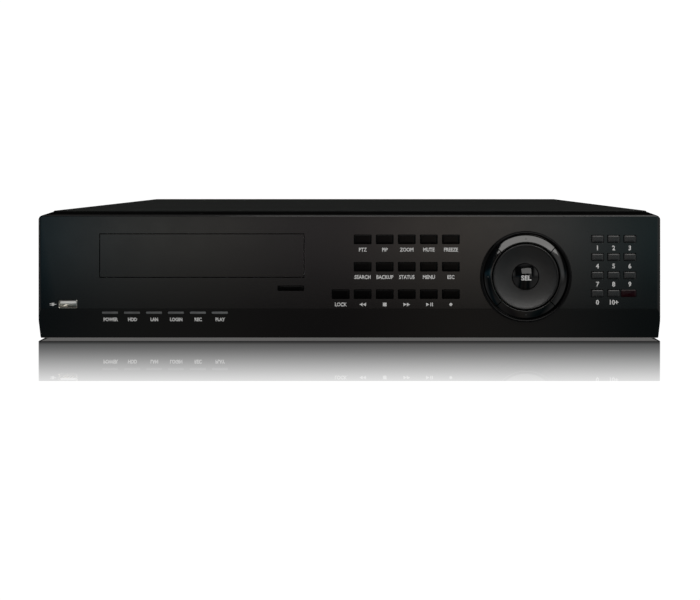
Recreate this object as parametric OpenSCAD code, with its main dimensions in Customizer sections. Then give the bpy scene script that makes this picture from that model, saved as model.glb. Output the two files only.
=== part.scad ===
// Two-unit digital video recorder: a folded steel chassis and cover behind a moulded front panel.
// The front faces -Y and +Z is up. The origin is on the surface that the feet stand on,
// below the middle of the whole length and width.

/* [Case] */
// Width across the front panel
case_w = 430; // [428:0.5:436]
// Height from the feet to the top of the cover
case_h = 89; // [88.5:0.25:91]
// Length from the front of the dial rim to the tips of the rear sockets
case_l = 420; // [412:1:425]
// Thickness of the chassis steel
sheet = 1.2; // [1:0.1:1.4]
// Thickness of the cover steel
cover_t = 1; // [0.8:0.1:1.2]
// Height of the rubber feet
foot_h = 3; // [2.5:0.25:3.5]

/* [Front panel] */
// Depth of the front panel from its face to the chassis
panel_d = 30; // [28:1:34]
// Wall thickness of the front panel
panel_t = 2.4; // [2:0.2:2.8]
// Height at which the lower part of the face starts to lean back
crease_z = 22; // [21:0.5:23]
// How far the foot of the face leans back
lean = 5.2; // [4:0.2:6]
// Radius of the panel's two top corners
corner_r = 4.5; // [3:0.5:6]
// Radius of the edge between the panel's face and its top
edge_r = 1.1; // [0.8:0.1:1.6]

/* [Function keys] */
// Width of a function key
key_w = 11.6; // [10.5:0.1:12.4]
// Height of a function key
key_h = 5.9; // [5:0.1:6.4]
// Distance between columns of function keys
key_pitch_x = 15.2; // [15:0.1:15.4]
// Distance between rows of function keys
key_pitch_z = 18.9; // [18:0.1:19.4]
// How far the keys stand out of the face
key_proud = 0.7; // [0.5:0.1:0.9]
// Travel of every key
key_travel = 0.8; // [0.4:0.1:0.8]

/* [Number keys] */
// Width of a number key
digit_w = 8.2; // [7.4:0.1:8.6]
// Height of a number key
digit_h = 4.8; // [4.2:0.1:5.2]
// Distance between columns of number keys
digit_pitch_x = 11.15; // [11:0.05:11.4]
// Distance between rows of number keys
digit_pitch_z = 12.5; // [12:0.1:12.8]

/* [Dial] */
// Outer radius of the glossy rim around the dial
rim_r = 31.6; // [31:0.1:32]
// Outer radius of the ring of arrow keys
nav_r = 29; // [28.6:0.1:29.2]
// Radius of the jog wheel
jog_r = 22.7; // [22:0.1:22.9]
// Radius of the select button
select_r = 9; // [8:0.1:9.2]
// How far the rim stands out of the face
rim_proud = 1.8; // [1.4:0.1:2.2]

/* [Disc tray] */
// Width of the tray's face plate
tray_face_w = 140.4; // [139:0.2:141]
// Height of the tray's face plate
tray_face_h = 29.4; // [28.6:0.2:29.6]
// Distance that the tray slides out
tray_travel = 146; // [130:1:146]

/* [Rear] */
// How far the rear sockets stand out of the rear wall
socket_proud = 11; // [10:0.5:12]
// Number of video inputs in each of the two rows
inputs_per_row = 8; // [6:1:8]
// Distance between the video sockets
bnc_pitch = 20; // [18:0.5:20]
// Outside radius of a video socket
bnc_r = 4.8; // [4.7:0.05:4.9]

/* [Hidden] */
$fn = 64;
eps = 0.5;
gap = 0.35;                                   // between a key and its hole
front_y = -case_l / 2 + rim_proud;            // the flat of the front face
rear_y = case_l / 2 - socket_proud;           // outside of the rear wall
chassis_y = front_y + panel_d;                // outside of the chassis front wall
panel_top = case_h - 2;                       // top edge of the front face
panel_foot = 1;                               // bottom edge of the front panel
body_w = case_w - 4;                          // width across the cover
floor_z = foot_h;                             // underside of the chassis floor
board_y = 13;                                 // key board's front, behind the face
board_t = 1.6;
switch_y = 9.5;                               // front of the switches' bodies, behind the face
flange_y = panel_t + 0.2;                     // front of a key's flange, behind the face
flange_t = 1.2;
stem_end = 7.4;                               // tip of a key's stem at rest
rim_t = 4;                                    // depth of the rim's collar
bnc_wall_d = 10;                              // depth of a video socket behind the wall

dial_x = 121.7;
dial_z = 44.3;
first_key_x = 9.2;
first_key_z = 70.1;
first_digit_x = 171.1;
first_digit_z = 70.4;
tray_x = -101.7;
tray_z = 58.9;
tray_w = 128;
tray_front_y = 18;                            // the tray's own lip, behind the face
tray_l = tray_travel + 10;                    // the tray stays in its drive by this much more than its travel
drive_w = 146;
drive_h = 41.3;
drive_l = tray_travel + 24;
drive_y = 22;                                 // front of the disc drive, behind the face
drive_z = 54.6;
eject_x = -40.4;
eject_z = 36.4;
lamp_w = 11.2;
lamp_h = 1.8;
lamp_z = 19.4;
lamp_xs = [for (i = [0:5]) -165.2 + 15.15 * i];
usb_x = -194.2;
usb_z = 25.3;
usb_w = 12.9;
usb_h = 5.8;
ir_x = 192.6;
ir_w = 10.8;
ir_h = 5.2;

fan_x = 74;
fan_z = 44;
fan_w = 60;
fan_t = 25;
inlet_x = 160;
inlet_z = 44;
rocker_z = 59;
rocker_tilt = 7;                              // resting slope of the power rocker
pivot_r = 1.2;                                // radius of the rocker's pivot pins
bnc_rows = [66, 46];
input_xs = [for (i = [0:inputs_per_row - 1]) -192 + bnc_pitch * i];
output_xs = [-30, -10];
jack_xs = [8, 24];
jack_zs = [16.4, 31.4];

foot_xs = [-180, 180];
foot_ys = [-150, 160];
side_screw_ys = [-90, 40, 170];
side_screw_z = 16;
rear_screw_xs = [-190, 0, 190];
rear_screw_z = case_h - 4.5;
ear_y = -140;                                 // middle of the side holes for rack ears
ear_z = 44;
ear_pitch_y = 40;
ear_pitch_z = 50;
ear_hole_r = 2.1;
vent_ys = [-70, 60];                          // first slot of each group of vents in the cover's sides
board_top = 10.6;                             // top of the main board
video_y = rear_y - bnc_wall_d;                // back of the video sockets
fan_screws = [for (sx = [-1, 1], sz = [-1, 1]) [fan_x + sx * 25, fan_z + sz * 25]];
inlet_screws = [[inlet_x, inlet_z + 28], [inlet_x, inlet_z - 28]];
// Metal shells on the main board as [x, width, height, how far it stands out of the rear wall]
rear_shells = [[-182, 17, 8.4, 6], [-150, 15, 6, 1.2], [-124, 16.2, 13.6, 1.4]];
terminal_x = -62;
terminal_w = 62;
terminal_h = 10.4;

function_keys = [
    ["key_ptz", 0, 0], ["key_pip", 1, 0], ["key_zoom", 2, 0], ["key_mute", 3, 0], ["key_freeze", 4, 0],
    ["key_search", 0, 1], ["key_backup", 1, 1], ["key_status", 2, 1], ["key_menu", 3, 1], ["key_esc", 4, 1],
    ["key_lock", -1, 2], ["key_rewind", 0, 2], ["key_stop", 1, 2], ["key_forward", 2, 2],
    ["key_play", 3, 2], ["key_record", 4, 2]
];
number_keys = [
    ["key_1", 0, 0], ["key_2", 1, 0], ["key_3", 2, 0],
    ["key_4", 0, 1], ["key_5", 1, 1], ["key_6", 2, 1],
    ["key_7", 0, 2], ["key_8", 1, 2], ["key_9", 2, 2],
    ["key_0", 0, 3], ["key_10plus", 1, 3]
];
nav_keys = [["nav_right", 0], ["nav_up", 90], ["nav_left", 180], ["nav_down", 270]];

// ---- Outlines and placing ----

function arc(c, r, a0, a1, n = 6) =
    [for (i = [0:n]) let (a = a0 + (a1 - a0) * i / n) [c[0] + r * cos(a), c[1] + r * sin(a)]];

function rounded(w, h, r, n = 4) = concat(
    arc([w / 2 - r, h / 2 - r], r, 0, 90, n),
    arc([r - w / 2, h / 2 - r], r, 90, 180, n),
    arc([r - w / 2, r - h / 2], r, 180, 270, n),
    arc([w / 2 - r, r - h / 2], r, 270, 360, n)
);

function key_x(column) = first_key_x + key_pitch_x * column;
function key_z(row) = first_key_z - key_pitch_z * row;
function digit_x(column) = first_digit_x + digit_pitch_x * column;
function digit_z(row) = first_digit_z - digit_pitch_z * row;

// Moves children to a place on the front face, with y measured back from the face
module on_face(x, z, y = 0) {
    translate([x, front_y + y, z]) children();
}

// Stands an outline in X and Z up as a prism that runs back along +Y
module prism_y(points, depth) {
    translate([0, depth, 0]) rotate([90, 0, 0]) linear_extrude(depth) polygon(points);
}

// A block with rounded corners in X and Z, centred, that runs back along +Y
module block_y(w, h, depth, r = 0.5) {
    prism_y(rounded(w, h, r), depth);
}

// A cylinder that runs back along +Y
module rod_y(r, depth, sides = 64) {
    rotate([-90, 0, 0]) cylinder(r = r, h = depth, $fn = sides);
}

// A turned shape about a Y axis, from points of [radius, y]
module turned_y(points, sides = 64) {
    rotate([90, 0, 0]) rotate_extrude($fn = sides) polygon([for (p = points) [p[0], -p[1]]]);
}

// A flat slab from its lowest and highest corners
module slab(low, high) {
    translate(low) cube(high - low);
}

// ---- Front panel ----

// Side outline as [y behind the face, z]: lip, leaning foot, soft crease, flat, top edge, sloping top
function panel_side() = concat(
    [[panel_d, panel_foot]],
    arc([lean + 2.6, panel_foot + 2], 2, 270, 195, 4),
    arc([10, crease_z + 0.4], 10, 187, 180, 2),
    arc([edge_r, panel_top - edge_r], edge_r, 180, 93, 4),
    [[panel_d, case_h - 0.3]]
);

// Half of the plan outline, so that the sides taper back to the cover's width
function panel_plan(half_front, half_back, y0, y1, r) = concat(
    arc([half_front - r, y0 + r], r, 270, 360, 4),
    [[half_back, y1], [-half_back, y1]],
    arc([r - half_front, y0 + r], r, 180, 270, 4)
);

// Rounds one top corner all along the sloping top
module corner_cut(side) {
    c = corner_r;
    slope = atan((case_h - 0.3 - panel_top) / (panel_d - edge_r));
    translate([side * case_w / 2, front_y + edge_r, panel_top]) rotate([slope, 0, 0]) scale([side, 1, 1])
        translate([0, -10, 0]) prism_y(concat([[2, 2], [-c, 2]], arc([-c, -c], c, 90, 0, 8), [[2, -c]]), panel_d + 20);
}

module panel_outside() {
    difference() {
        intersection() {
            translate([-case_w / 2, 0, 0]) rotate([90, 0, 90]) linear_extrude(case_w)
                polygon([for (p = panel_side()) [front_y + p[0], p[1]]]);
            translate([0, front_y, 0]) linear_extrude(case_h)
                polygon(panel_plan(case_w / 2, body_w / 2, 0, panel_d, 2.5));
        }
        for (side = [-1, 1]) corner_cut(side);
    }
}

module panel_inside() {
    t = panel_t;
    side = [
        [panel_d + eps, panel_foot + t], [lean + 2.9, panel_foot + t], [t, crease_z + 0.3],
        [t, panel_top - 5], [t + 1.2, panel_top - 2.8], [panel_d + eps, case_h - 0.3 - t]
    ];
    intersection() {
        translate([-case_w / 2, 0, 0]) rotate([90, 0, 90]) linear_extrude(case_w)
            polygon([for (p = side) [front_y + p[0], p[1]]]);
        translate([0, front_y, 0]) linear_extrude(case_h)
            polygon(panel_plan(case_w / 2 - t, body_w / 2 - t - 0.1, t, panel_d + eps, 1));
    }
}

// A hole through the face for a block of w by h
module face_hole(x, z, w, h, r = 0.6) {
    on_face(x, z, -2) block_y(w, h, 12, r);
}

// Posts behind the face whose pins pass through the boards
post_places = [
    [-12, 79], [-12, 9], [84, 79.5], [84, 9], [202.5, 78], [202.5, 9], [-178, 34.5], [-76, 34.5], [-76, 15.5]
];

module panel_posts() {
    for (p = post_places) {
        y = p[1] < crease_z ? 5 : 1;
        on_face(p[0], p[1], y) rod_y(2.6, board_y - y, 24);
        on_face(p[0], p[1], board_y) rod_y(1.1, board_t + 0.8, 24);
    }
}

module front_panel() {
    color([0.05, 0.05, 0.052])
    difference() {
        union() {
            difference() {
                panel_outside();
                panel_inside();
            }
            intersection() {
                panel_outside();
                panel_posts();
            }
        }
        for (k = function_keys) face_hole(key_x(k[1]), key_z(k[2]), key_w + 2 * gap, key_h + 2 * gap);
        for (k = number_keys) face_hole(digit_x(k[1]), digit_z(k[2]), digit_w + 2 * gap, digit_h + 2 * gap);
        for (x = lamp_xs) face_hole(x, lamp_z, lamp_w, lamp_h, 0.3);
        face_hole(tray_x, tray_z, tray_face_w + 1.2, tray_face_h + 1.2, 0.5);
        face_hole(eject_x, eject_z, 18.4, 3.7, 0.8);
        face_hole(usb_x, usb_z, usb_w + 0.7, usb_h + 0.7, 0.8);
        face_hole(ir_x, digit_z(3), ir_w, ir_h, 0.8);
        on_face(dial_x, dial_z, -2) rod_y(nav_r + 1.4, 12);
        on_face(dial_x, dial_z, rim_t + 0.15) rod_y(nav_r + 2.4, 12);
    }
}

// ---- Keys ----

// Cap, retaining flange and stem of a pressed key
module pressed_key(w, h, r = 0.5) {
    translate([0, -key_proud, 0]) block_y(w, h, key_proud + flange_y, r);
    translate([0, flange_y, 0]) block_y(w + 1.4, h + 1.4, flange_t, r);
    translate([0, flange_y + flange_t, 0]) block_y(3, 3, stem_end - flange_y - flange_t, r);
}

module function_key(k) {
    color([0.012, 0.012, 0.014]) on_face(key_x(k[1]), key_z(k[2])) pressed_key(key_w, key_h);
}

module number_key(k) {
    color([0.04, 0.042, 0.045]) on_face(digit_x(k[1]), digit_z(k[2])) pressed_key(digit_w, digit_h);
}

// One quarter of the ring of arrow keys, with its flange behind the rim's collar
module nav_key(k) {
    inner = jog_r + 0.75;
    wedge = nav_r + 6;
    color([0.012, 0.012, 0.014])
    on_face(dial_x, dial_z) rotate([0, -k[1], 0]) {
        intersection() {
            turned_y([
                [inner, -0.3], [inner + 0.5, -0.8], [nav_r - 0.6, -0.8], [nav_r, -0.3],
                [nav_r, rim_t + 0.4], [nav_r + 1.9, rim_t + 0.4], [nav_r + 1.9, rim_t + 1.6], [inner, rim_t + 1.6]
            ], 96);
            prism_y_wedge(wedge);
        }
        translate([(inner + nav_r) / 2, rim_t + 1.6, 0]) block_y(3, 3, stem_end - rim_t - 1.6);
    }
}

// Quarter wedge about +X with a narrow gap beside each 45 degree edge
module prism_y_wedge(reach) {
    slit = 0.3 * sqrt(2);
    translate([0, -4, 0]) prism_y([[slit, 0], [slit + reach, reach], [slit + reach, -reach]], 20);
}

// ---- Dial ----

module dial_rim() {
    inner = nav_r + 0.3;
    collar = nav_r + 1.3;
    color([0.012, 0.012, 0.014]) on_face(dial_x, dial_z)
        turned_y(concat(
            [[inner, rim_t], [inner, -rim_proud + 0.5]],
            arc([inner + 1.15, -rim_proud + 0.9], 0.9, 210, 330, 6),
            [[rim_r, 0], [collar, 0], [collar, rim_t]]
        ), 128);
}

module jog_wheel() {
    hub = 12.5;
    color([0.05, 0.05, 0.052]) on_face(dial_x, dial_z)
        turned_y([
            [select_r + 0.5, 1.6], [jog_r - 0.9, -0.6], [jog_r - 0.35, -0.6], [jog_r, -0.25], [jog_r, 3],
            [hub, 4.2], [hub, 9], [hub - 1.2, 9], [hub - 1.2, 3.4], [select_r + 0.5, 3.4]
        ], 128);
}

module select_button() {
    dome = 2.7;
    dome_r = (select_r * select_r + dome * dome) / (2 * dome);
    half = asin(select_r / dome_r);
    color([0.012, 0.012, 0.014]) on_face(dial_x, dial_z) {
        turned_y(concat(
            [for (i = [0:8]) let (a = half * i / 8) [dome_r * sin(a), 1 - dome + dome_r * (1 - cos(a))]],
            [[select_r, 3.9], [select_r + 0.8, 3.9], [select_r + 0.8, 5.1], [2, 5.1], [2, stem_end], [0, stem_end]]
        ), 96);
    }
}

// ---- Small parts of the front ----

module eject_button() {
    color([0.012, 0.012, 0.014]) on_face(eject_x, eject_z) {
        translate([0, -0.2, 0]) block_y(17.8, 3.1, flange_y + 0.2, 0.6);
        translate([0, flange_y, 0]) block_y(20, 4.6, flange_t, 0.5);
        translate([0, flange_y + flange_t, 0]) block_y(5, 2.4, drive_y - 2.4 - flange_y - flange_t, 0.5);
    }
}

// Six bars joined by a rail behind the wall
module light_guide() {
    color([0.45, 0.46, 0.47]) {
        intersection() {
            panel_outside();
            for (x = lamp_xs) on_face(x, lamp_z, 0.5) block_y(lamp_w - 0.1, lamp_h - 0.1, 9, 0.3);
        }
        on_face((lamp_xs[0] + lamp_xs[5]) / 2, lamp_z, 9)
            block_y(lamp_xs[5] - lamp_xs[0] + lamp_w, 4, 2.5, 0.5);
    }
}

module ir_window() {
    color([0.16, 0.02, 0.04]) on_face(ir_x, digit_z(3)) {
        translate([0, 0.15, 0]) block_y(ir_w - 0.2, ir_h - 0.2, panel_t, 0.7);
        translate([0, panel_t + 0.05, 0]) block_y(ir_w - 0.4, ir_h + 2.2, 1, 0.7);
    }
}

// Metal shell and the tongue inside it
module usb_port() {
    shell_t = 0.4;
    color([0.75, 0.73, 0.68]) on_face(usb_x, usb_z, 0.4) {
        difference() {
            block_y(usb_w, usb_h, board_y - 0.4, 0.9);
            translate([0, -1, 0]) block_y(usb_w - 2 * shell_t, usb_h - 2 * shell_t, 11, 0.6);
        }
        translate([0, 1.2, 1.3]) block_y(usb_w - 1.8, 1.9, 10 - 1.2, 0.2);
    }
}

// Boards behind the face, with a switch for each key, the jog encoder, lamps and infrared receiver
module key_board() {
    color([0.05, 0.22, 0.12]) {
        difference() {
            on_face(94, 44, board_y) block_y(224, 76, board_t, 1);
            for (p = post_places) on_face(p[0], p[1], board_y - 1) rod_y(1.2, 4, 24);
        }
        difference() {
            on_face(-138, 26, board_y) block_y(134, 25, board_t, 1);
            for (p = post_places) on_face(p[0], p[1], board_y - 1) rod_y(1.2, 4, 24);
        }
    }
    color([0.06, 0.06, 0.06]) {
        for (k = function_keys) tact_switch(key_x(k[1]), key_z(k[2]));
        for (k = number_keys) tact_switch(digit_x(k[1]), digit_z(k[2]));
        for (k = nav_keys)
            tact_switch(dial_x + (jog_r + nav_r + 0.75) / 2 * cos(k[1]),
                        dial_z + (jog_r + nav_r + 0.75) / 2 * sin(k[1]));
        tact_switch(dial_x, dial_z);
        on_face(dial_x, dial_z) turned_y([[12.56, 6.5], [15.5, 6.5], [15.5, board_y], [12.56, board_y]], 96);
        on_face(ir_x, digit_z(3), board_y - 5) block_y(7, 6, 5, 0.5);
        for (x = lamp_xs) on_face(x, lamp_z, board_y - 1.2) block_y(3.2, 2, 1.2, 0.2);
    }
}

// A switch whose plunger waits just beyond the key's travel
module tact_switch(x, z) {
    tip = stem_end + key_travel + 0.2;
    on_face(x, z, switch_y) block_y(6, 6, board_y - switch_y, 0.3);
    on_face(x, z, tip) rod_y(1.6, switch_y - tip, 24);
}

// ---- Disc drive ----

module tray_face() {
    color([0.05, 0.05, 0.052]) on_face(tray_x, tray_z) {
        block_y(tray_face_w, tray_face_h, panel_t, 0.4);
        for (side = [-1, 1])
            translate([side * 45, panel_t, 0]) block_y(3, 18, tray_front_y - panel_t, 0.4);
    }
}

// Sliding tray with a well for a disc, a shallow step for a small disc and a slot for the spindle
module disc_tray() {
    well_y = 22 + 63;
    color([0.03, 0.03, 0.03])
    difference() {
        union() {
            on_face(tray_x, tray_z, tray_front_y) block_y(tray_w + 4, 16, 3.8, 0.8);
            on_face(tray_x, tray_z, tray_front_y + 3.8) block_y(tray_w, 8, tray_l, 0.8);
        }
        on_face(tray_x, 0, well_y) translate([0, 0, tray_z + 2]) cylinder(r = 60.5, h = 20, $fn = 128);
        on_face(tray_x, 0, well_y) translate([0, 0, tray_z + 1]) cylinder(r = 40.5, h = 20, $fn = 96);
        on_face(tray_x, 0, well_y) translate([0, 0, tray_z - 10]) cylinder(r = 17, h = 30, $fn = 64);
        on_face(tray_x, 0, well_y) translate([-17, 0, tray_z - 10]) cube([34, 78, 30]);
    }
}

module disc_drive() {
    y0 = front_y + drive_y;
    z0 = drive_z - drive_h / 2;
    color([0.6, 0.6, 0.62]) {
        difference() {
            slab([tray_x - drive_w / 2, y0, z0], [tray_x + drive_w / 2, y0 + drive_l, z0 + drive_h]);
            slab([tray_x - 65.5, y0 - 1, tray_z - 6], [tray_x + 65.5, y0 + tray_l + 3, tray_z + 8]);
            slab([tray_x - 68, y0 + 2, z0 + 2], [tray_x + 68, y0 + 150, tray_z - 8]);
            slab([tray_x - 60, y0 + 140, z0 + 4], [tray_x - 10, y0 + drive_l + 1, z0 + 12]);
        }
        on_face(eject_x, eject_z, drive_y - 1) block_y(12, 3, 1, 0.5);
    }
}

// ---- Chassis, cover, feet, fasteners ----

module screw_hole(p, turn, r) {
    translate(p) rotate([0, 0, turn]) translate([0, -6, 0]) rod_y(r, 12, 32);
}

// The side holes for rack ears, through cover and chassis
module ear_holes() {
    for (y = [-1, 1], z = [-1, 1])
        translate([-case_w / 2 - 5, ear_y + y * ear_pitch_y / 2, ear_z + z * ear_pitch_z / 2])
            rotate([0, 90, 0]) cylinder(r = ear_hole_r, h = case_w + 10, $fn = 48);
}

// Honeycomb of holes in the rear wall behind the fan
module fan_holes() {
    for (i = [-4:4], j = [-4:4]) {
        x = (i + (j % 2 == 0 ? 0 : 0.5)) * 6.6;
        z = j * 5.7;
        if (x * x + z * z < 25 * 25)
            translate([fan_x + x, rear_y - 4, fan_z + z]) rotate([-90, 0, 0]) cylinder(r = 3, h = 8, $fn = 6);
    }
}

module chassis() {
    w = body_w / 2 - cover_t - 0.2;
    top = case_h - cover_t - 0.2;
    z1 = floor_z + sheet;
    color([0.05, 0.052, 0.05])
    difference() {
        union() {
            slab([-w, chassis_y, floor_z], [w, rear_y, z1]);
            slab([-w, chassis_y, floor_z], [w, chassis_y + sheet, top]);
            slab([-w, rear_y - sheet, floor_z], [w, rear_y, top]);
            slab([-w, rear_y - 12, top - sheet], [w, rear_y, top]);
            for (side = [-1, 1]) {
                slab([side * w - (side > 0 ? sheet : 0), chassis_y, floor_z],
                     [side * w + (side > 0 ? 0 : sheet), rear_y, 30]);
                slab([side * w - (side > 0 ? sheet : 0), chassis_y, floor_z],
                     [side * w + (side > 0 ? 0 : sheet), ear_y + 32, top]);
            }
        }
        on_face(tray_x, drive_z, panel_d - 1) block_y(drive_w + 1, drive_h + 1, 4, 0.5);
        on_face(30, 40, panel_d - 1) block_y(50, 30, 4, 2);
        on_face(-138, 18, panel_d - 1) block_y(60, 10, 4, 2);
        ear_holes();
        fan_holes();
        for (s = fan_screws) screw_hole([s[0], rear_y, s[1]], 0, 1.7);
        for (s = inlet_screws) screw_hole([s[0], rear_y, s[1]], 0, 1.7);
        for (x = rear_screw_xs) screw_hole([x, rear_y, rear_screw_z], 0, 1.7);
        for (y = side_screw_ys, side = [-1, 1]) screw_hole([side * body_w / 2, y, side_screw_z], 90, 1.7);
        for (z = bnc_rows, x = concat(input_xs, output_xs))
            translate([x, rear_y - 3, z]) rod_y(bnc_r + 0.1, 6, 48);
        for (x = jack_xs, z = jack_zs) translate([x, rear_y - 3, z]) rod_y(5.1, 6, 48);
        translate([inlet_x, rear_y - 3, inlet_z]) block_y(27.2, 47.2, 6, 1);
        for (p = rear_shells)
            translate([p[0], rear_y - 3, board_top + p[2] / 2]) block_y(p[1] + 0.6, p[2] + 0.6, 6, 0.5);
        translate([terminal_x, rear_y - 3, board_top + terminal_h / 2])
            block_y(terminal_w + 0.6, terminal_h + 0.6, 6, 0.5);
    }
}

module top_cover() {
    w = body_w / 2;
    t = cover_t;
    r = 1.6;
    color([0.05, 0.052, 0.05])
    difference() {
        union() {
            translate([0, chassis_y, 0]) prism_y(concat(
                [[w, 4]], arc([w - r, case_h - r], r, 0, 90, 4),
                arc([r - w, case_h - r], r, 90, 180, 4), [[-w, 4], [t - w, 4]],
                arc([r - w, case_h - r], r - t, 180, 90, 4),
                arc([w - r, case_h - r], r - t, 90, 0, 4), [[w - t, 4]]
            ), rear_y - chassis_y);
            slab([3 - w, rear_y, case_h - 9], [w - 3, rear_y + t, case_h - 0.6]);
            slab([3 - w, rear_y - 2, case_h - t], [w - 3, rear_y + t - 0.6, case_h]);
        }
        ear_holes();
        for (x = rear_screw_xs) screw_hole([x, rear_y, rear_screw_z], 0, 1.8);
        for (y = side_screw_ys, side = [-1, 1]) screw_hole([side * body_w / 2, y, side_screw_z], 90, 1.8);
        for (y = vent_ys, i = [0:13])
            translate([w + 5, y + i * 6, 58]) rotate([0, 0, 90]) block_y(2.2, 26, case_w + 10, 1.05);
    }
}

module feet() {
    color([0.03, 0.03, 0.03])
    for (x = foot_xs, y = foot_ys)
        translate([x, y, 0]) rotate_extrude($fn = 64)
            polygon([[0, 0.6], [3.5, 0.6], [3.5, 0], [8.4, 0], [9, 0.6], [9.6, foot_h], [0, foot_h]]);
}

// Pan head screw along +Y, its head's underside at the origin, with a cross recess
module pan_screw(length = 6) {
    difference() {
        union() {
            turned_y([[0, -1.7], [1.6, -1.7], [2.7, -1.2], [3, -0.5], [3, 0], [0, 0]], 48);
            rod_y(1.45, length, 32);
        }
        for (a = [0, 90]) translate([0, -2, 0]) rotate([0, a, 0]) translate([-1.5, 0, -0.3]) cube([3, 1.3, 0.6]);
    }
}

module screws() {
    color([0.55, 0.56, 0.58]) {
        for (s = fan_screws) translate([s[0], rear_y, s[1]]) mirror([0, 1, 0]) pan_screw();
        for (s = inlet_screws) translate([s[0], rear_y + 2, s[1]]) mirror([0, 1, 0]) pan_screw(7);
        for (x = rear_screw_xs) translate([x, rear_y + cover_t, rear_screw_z]) mirror([0, 1, 0]) pan_screw();
        for (y = side_screw_ys) {
            translate([body_w / 2, y, side_screw_z]) rotate([0, 0, 90]) pan_screw();
            translate([-body_w / 2, y, side_screw_z]) rotate([0, 0, -90]) pan_screw();
        }
    }
}

// ---- Inside ----

module drive_bracket() {
    x = 60;
    w = 50.8;
    color([0.66, 0.67, 0.68])
    for (side = [-1, 1]) {
        slab([x + side * w - (side > 0 ? 0 : 1.2), -150, floor_z + sheet],
             [x + side * w + (side > 0 ? 1.2 : 0), -4, 76]);
        slab([x + side * (w + 5) - 5, -150, floor_z + sheet], [x + side * (w + 5) + 5, -4, floor_z + sheet + 1.2]);
    }
}

module hard_disks() {
    color([0.35, 0.36, 0.38])
    for (z = [12, 46]) {
        translate([60, -150, z + 13.05]) block_y(101.6, 26.1, 147, 1);
        translate([60, -60, z + 26.1]) cylinder(r = 30, h = 0.6, $fn = 64);
    }
}

module power_supply() {
    color([0.7, 0.7, 0.71])
    difference() {
        slab([118, 20, floor_z + sheet], [206, 168, 72]);
        for (i = [0:8]) slab([117, 40 + i * 12, 20], [122, 46 + i * 12, 56]);
        slab([120, 22, floor_z + sheet + 2], [204, 166, 70]);
    }
}

module main_board() {
    color([0.05, 0.22, 0.12]) {
        slab([-205, 40, board_top - 1.6], [36, rear_y - 3, board_top]);
        slab([-205, video_y - 1.6, 36], [2, video_y, 80]);
    }
    color([0.06, 0.06, 0.06]) {
        for (x = [-112, -24]) slab([x, video_y - 1.6, board_top], [x + 16, video_y, 36]);
        slab([-150, 80, board_top], [-116, 114, board_top + 2.4]);
        for (i = [0:3]) slab([-70 + i * 20, 90, board_top], [-56 + i * 20, 104, board_top + 1.6]);
        for (i = [0:4]) translate([-190 + i * 14, 60, board_top]) cylinder(r = 5, h = 14, $fn = 32);
        for (x = [-195, -85, 25], y = [46, 184]) translate([x, y, floor_z + sheet])
            cylinder(r = 3, h = board_top - 1.6 - floor_z - sheet, $fn = 24);
    }
}

module heat_sink() {
    color([0.7, 0.7, 0.72]) translate([-133, 97, board_top + 2.4]) {
        translate([-20, -20, 0]) cube([40, 40, 3]);
        for (i = [0:7]) translate([-20 + i * 5.5, -20, 3]) cube([1.5, 40, 14]);
    }
}

// ---- Rear ----

// One coaxial socket with its nut, its root on the rear wall
module video_socket() {
    translate([0, rear_y, 0]) {
        turned_y([
            [0, -bnc_wall_d], [bnc_r - 0.1, -bnc_wall_d], [bnc_r - 0.1, 0], [bnc_r, 0], [bnc_r, socket_proud - 0.4],
            [bnc_r - 0.4, socket_proud], [bnc_r - 0.7, socket_proud], [bnc_r - 0.7, 3], [2.3, 3],
            [2.3, socket_proud - 2], [0.9, socket_proud - 2], [0.9, 4], [0, 4]
        ], 48);
        difference() {
            rod_y(7.2, 2.2, 6);
            translate([0, -1, 0]) rod_y(bnc_r - 0.2, 4, 48);
        }
    }
}

module video_sockets() {
    color([0.72, 0.71, 0.68])
    for (z = bnc_rows, x = concat(input_xs, output_xs)) translate([x, 0, z]) video_socket();
}

module rear_ports() {
    color([0.75, 0.74, 0.7])
    for (p = rear_shells)
        translate([p[0], rear_y - 14, board_top + p[2] / 2]) difference() {
            block_y(p[1], p[2], 14 + p[3], 1);
            translate([0, 5, 0]) block_y(p[1] - 1.6, p[2] - 1.6, 20, 0.5);
        }
}

module audio_jacks() {
    color([0.8, 0.8, 0.78]) {
        slab([jack_xs[0] - 7, rear_y - 13, board_top], [jack_xs[1] + 7, rear_y - sheet, jack_zs[1] + 7]);
        for (x = jack_xs, z = jack_zs)
            translate([x, rear_y, z]) turned_y([
                [0, -3], [5, -3], [5, 1.5], [4.15, 1.5], [4.15, 9.5], [3.5, 9.5], [3.5, 1.5],
                [3, 1.5], [3, 7], [1.65, 7], [1.65, 0], [0, 0]
            ], 48);
    }
}

// Two-row screw terminal block with square wire holes
module terminal_block() {
    color([0.1, 0.42, 0.2])
    translate([terminal_x, rear_y - 11, board_top + terminal_h / 2]) difference() {
        block_y(terminal_w, terminal_h, 11 + 8, 0.4);
        for (i = [0:15]) translate([3.8 * (i - 7.5), 12, -1.8]) block_y(2.6, 3.4, 8, 0.2);
        for (i = [0:15]) translate([3.8 * (i - 7.5), 16, 2]) cylinder(r = 1.2, h = 5, $fn = 24);
    }
}

module fan_housing() {
    y0 = rear_y - sheet - fan_t;
    color([0.04, 0.04, 0.04])
    translate([fan_x, y0, fan_z]) {
        difference() {
            block_y(fan_w, fan_w, fan_t, 3);
            translate([0, -1, 0]) rod_y(28.6, fan_t + 2, 96);
            for (sx = [-1, 1], sz = [-1, 1]) translate([sx * 25, -1, sz * 25]) rod_y(2, fan_t + 2, 32);
        }
        translate([0, 0.5, 0]) rod_y(12.5, 2.5, 64);
        for (a = [30, 150, 270])
            rotate([0, a, 0]) translate([11, 0.8, -1.5]) cube([18.2, 1.9, 3]);
    }
}

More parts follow.
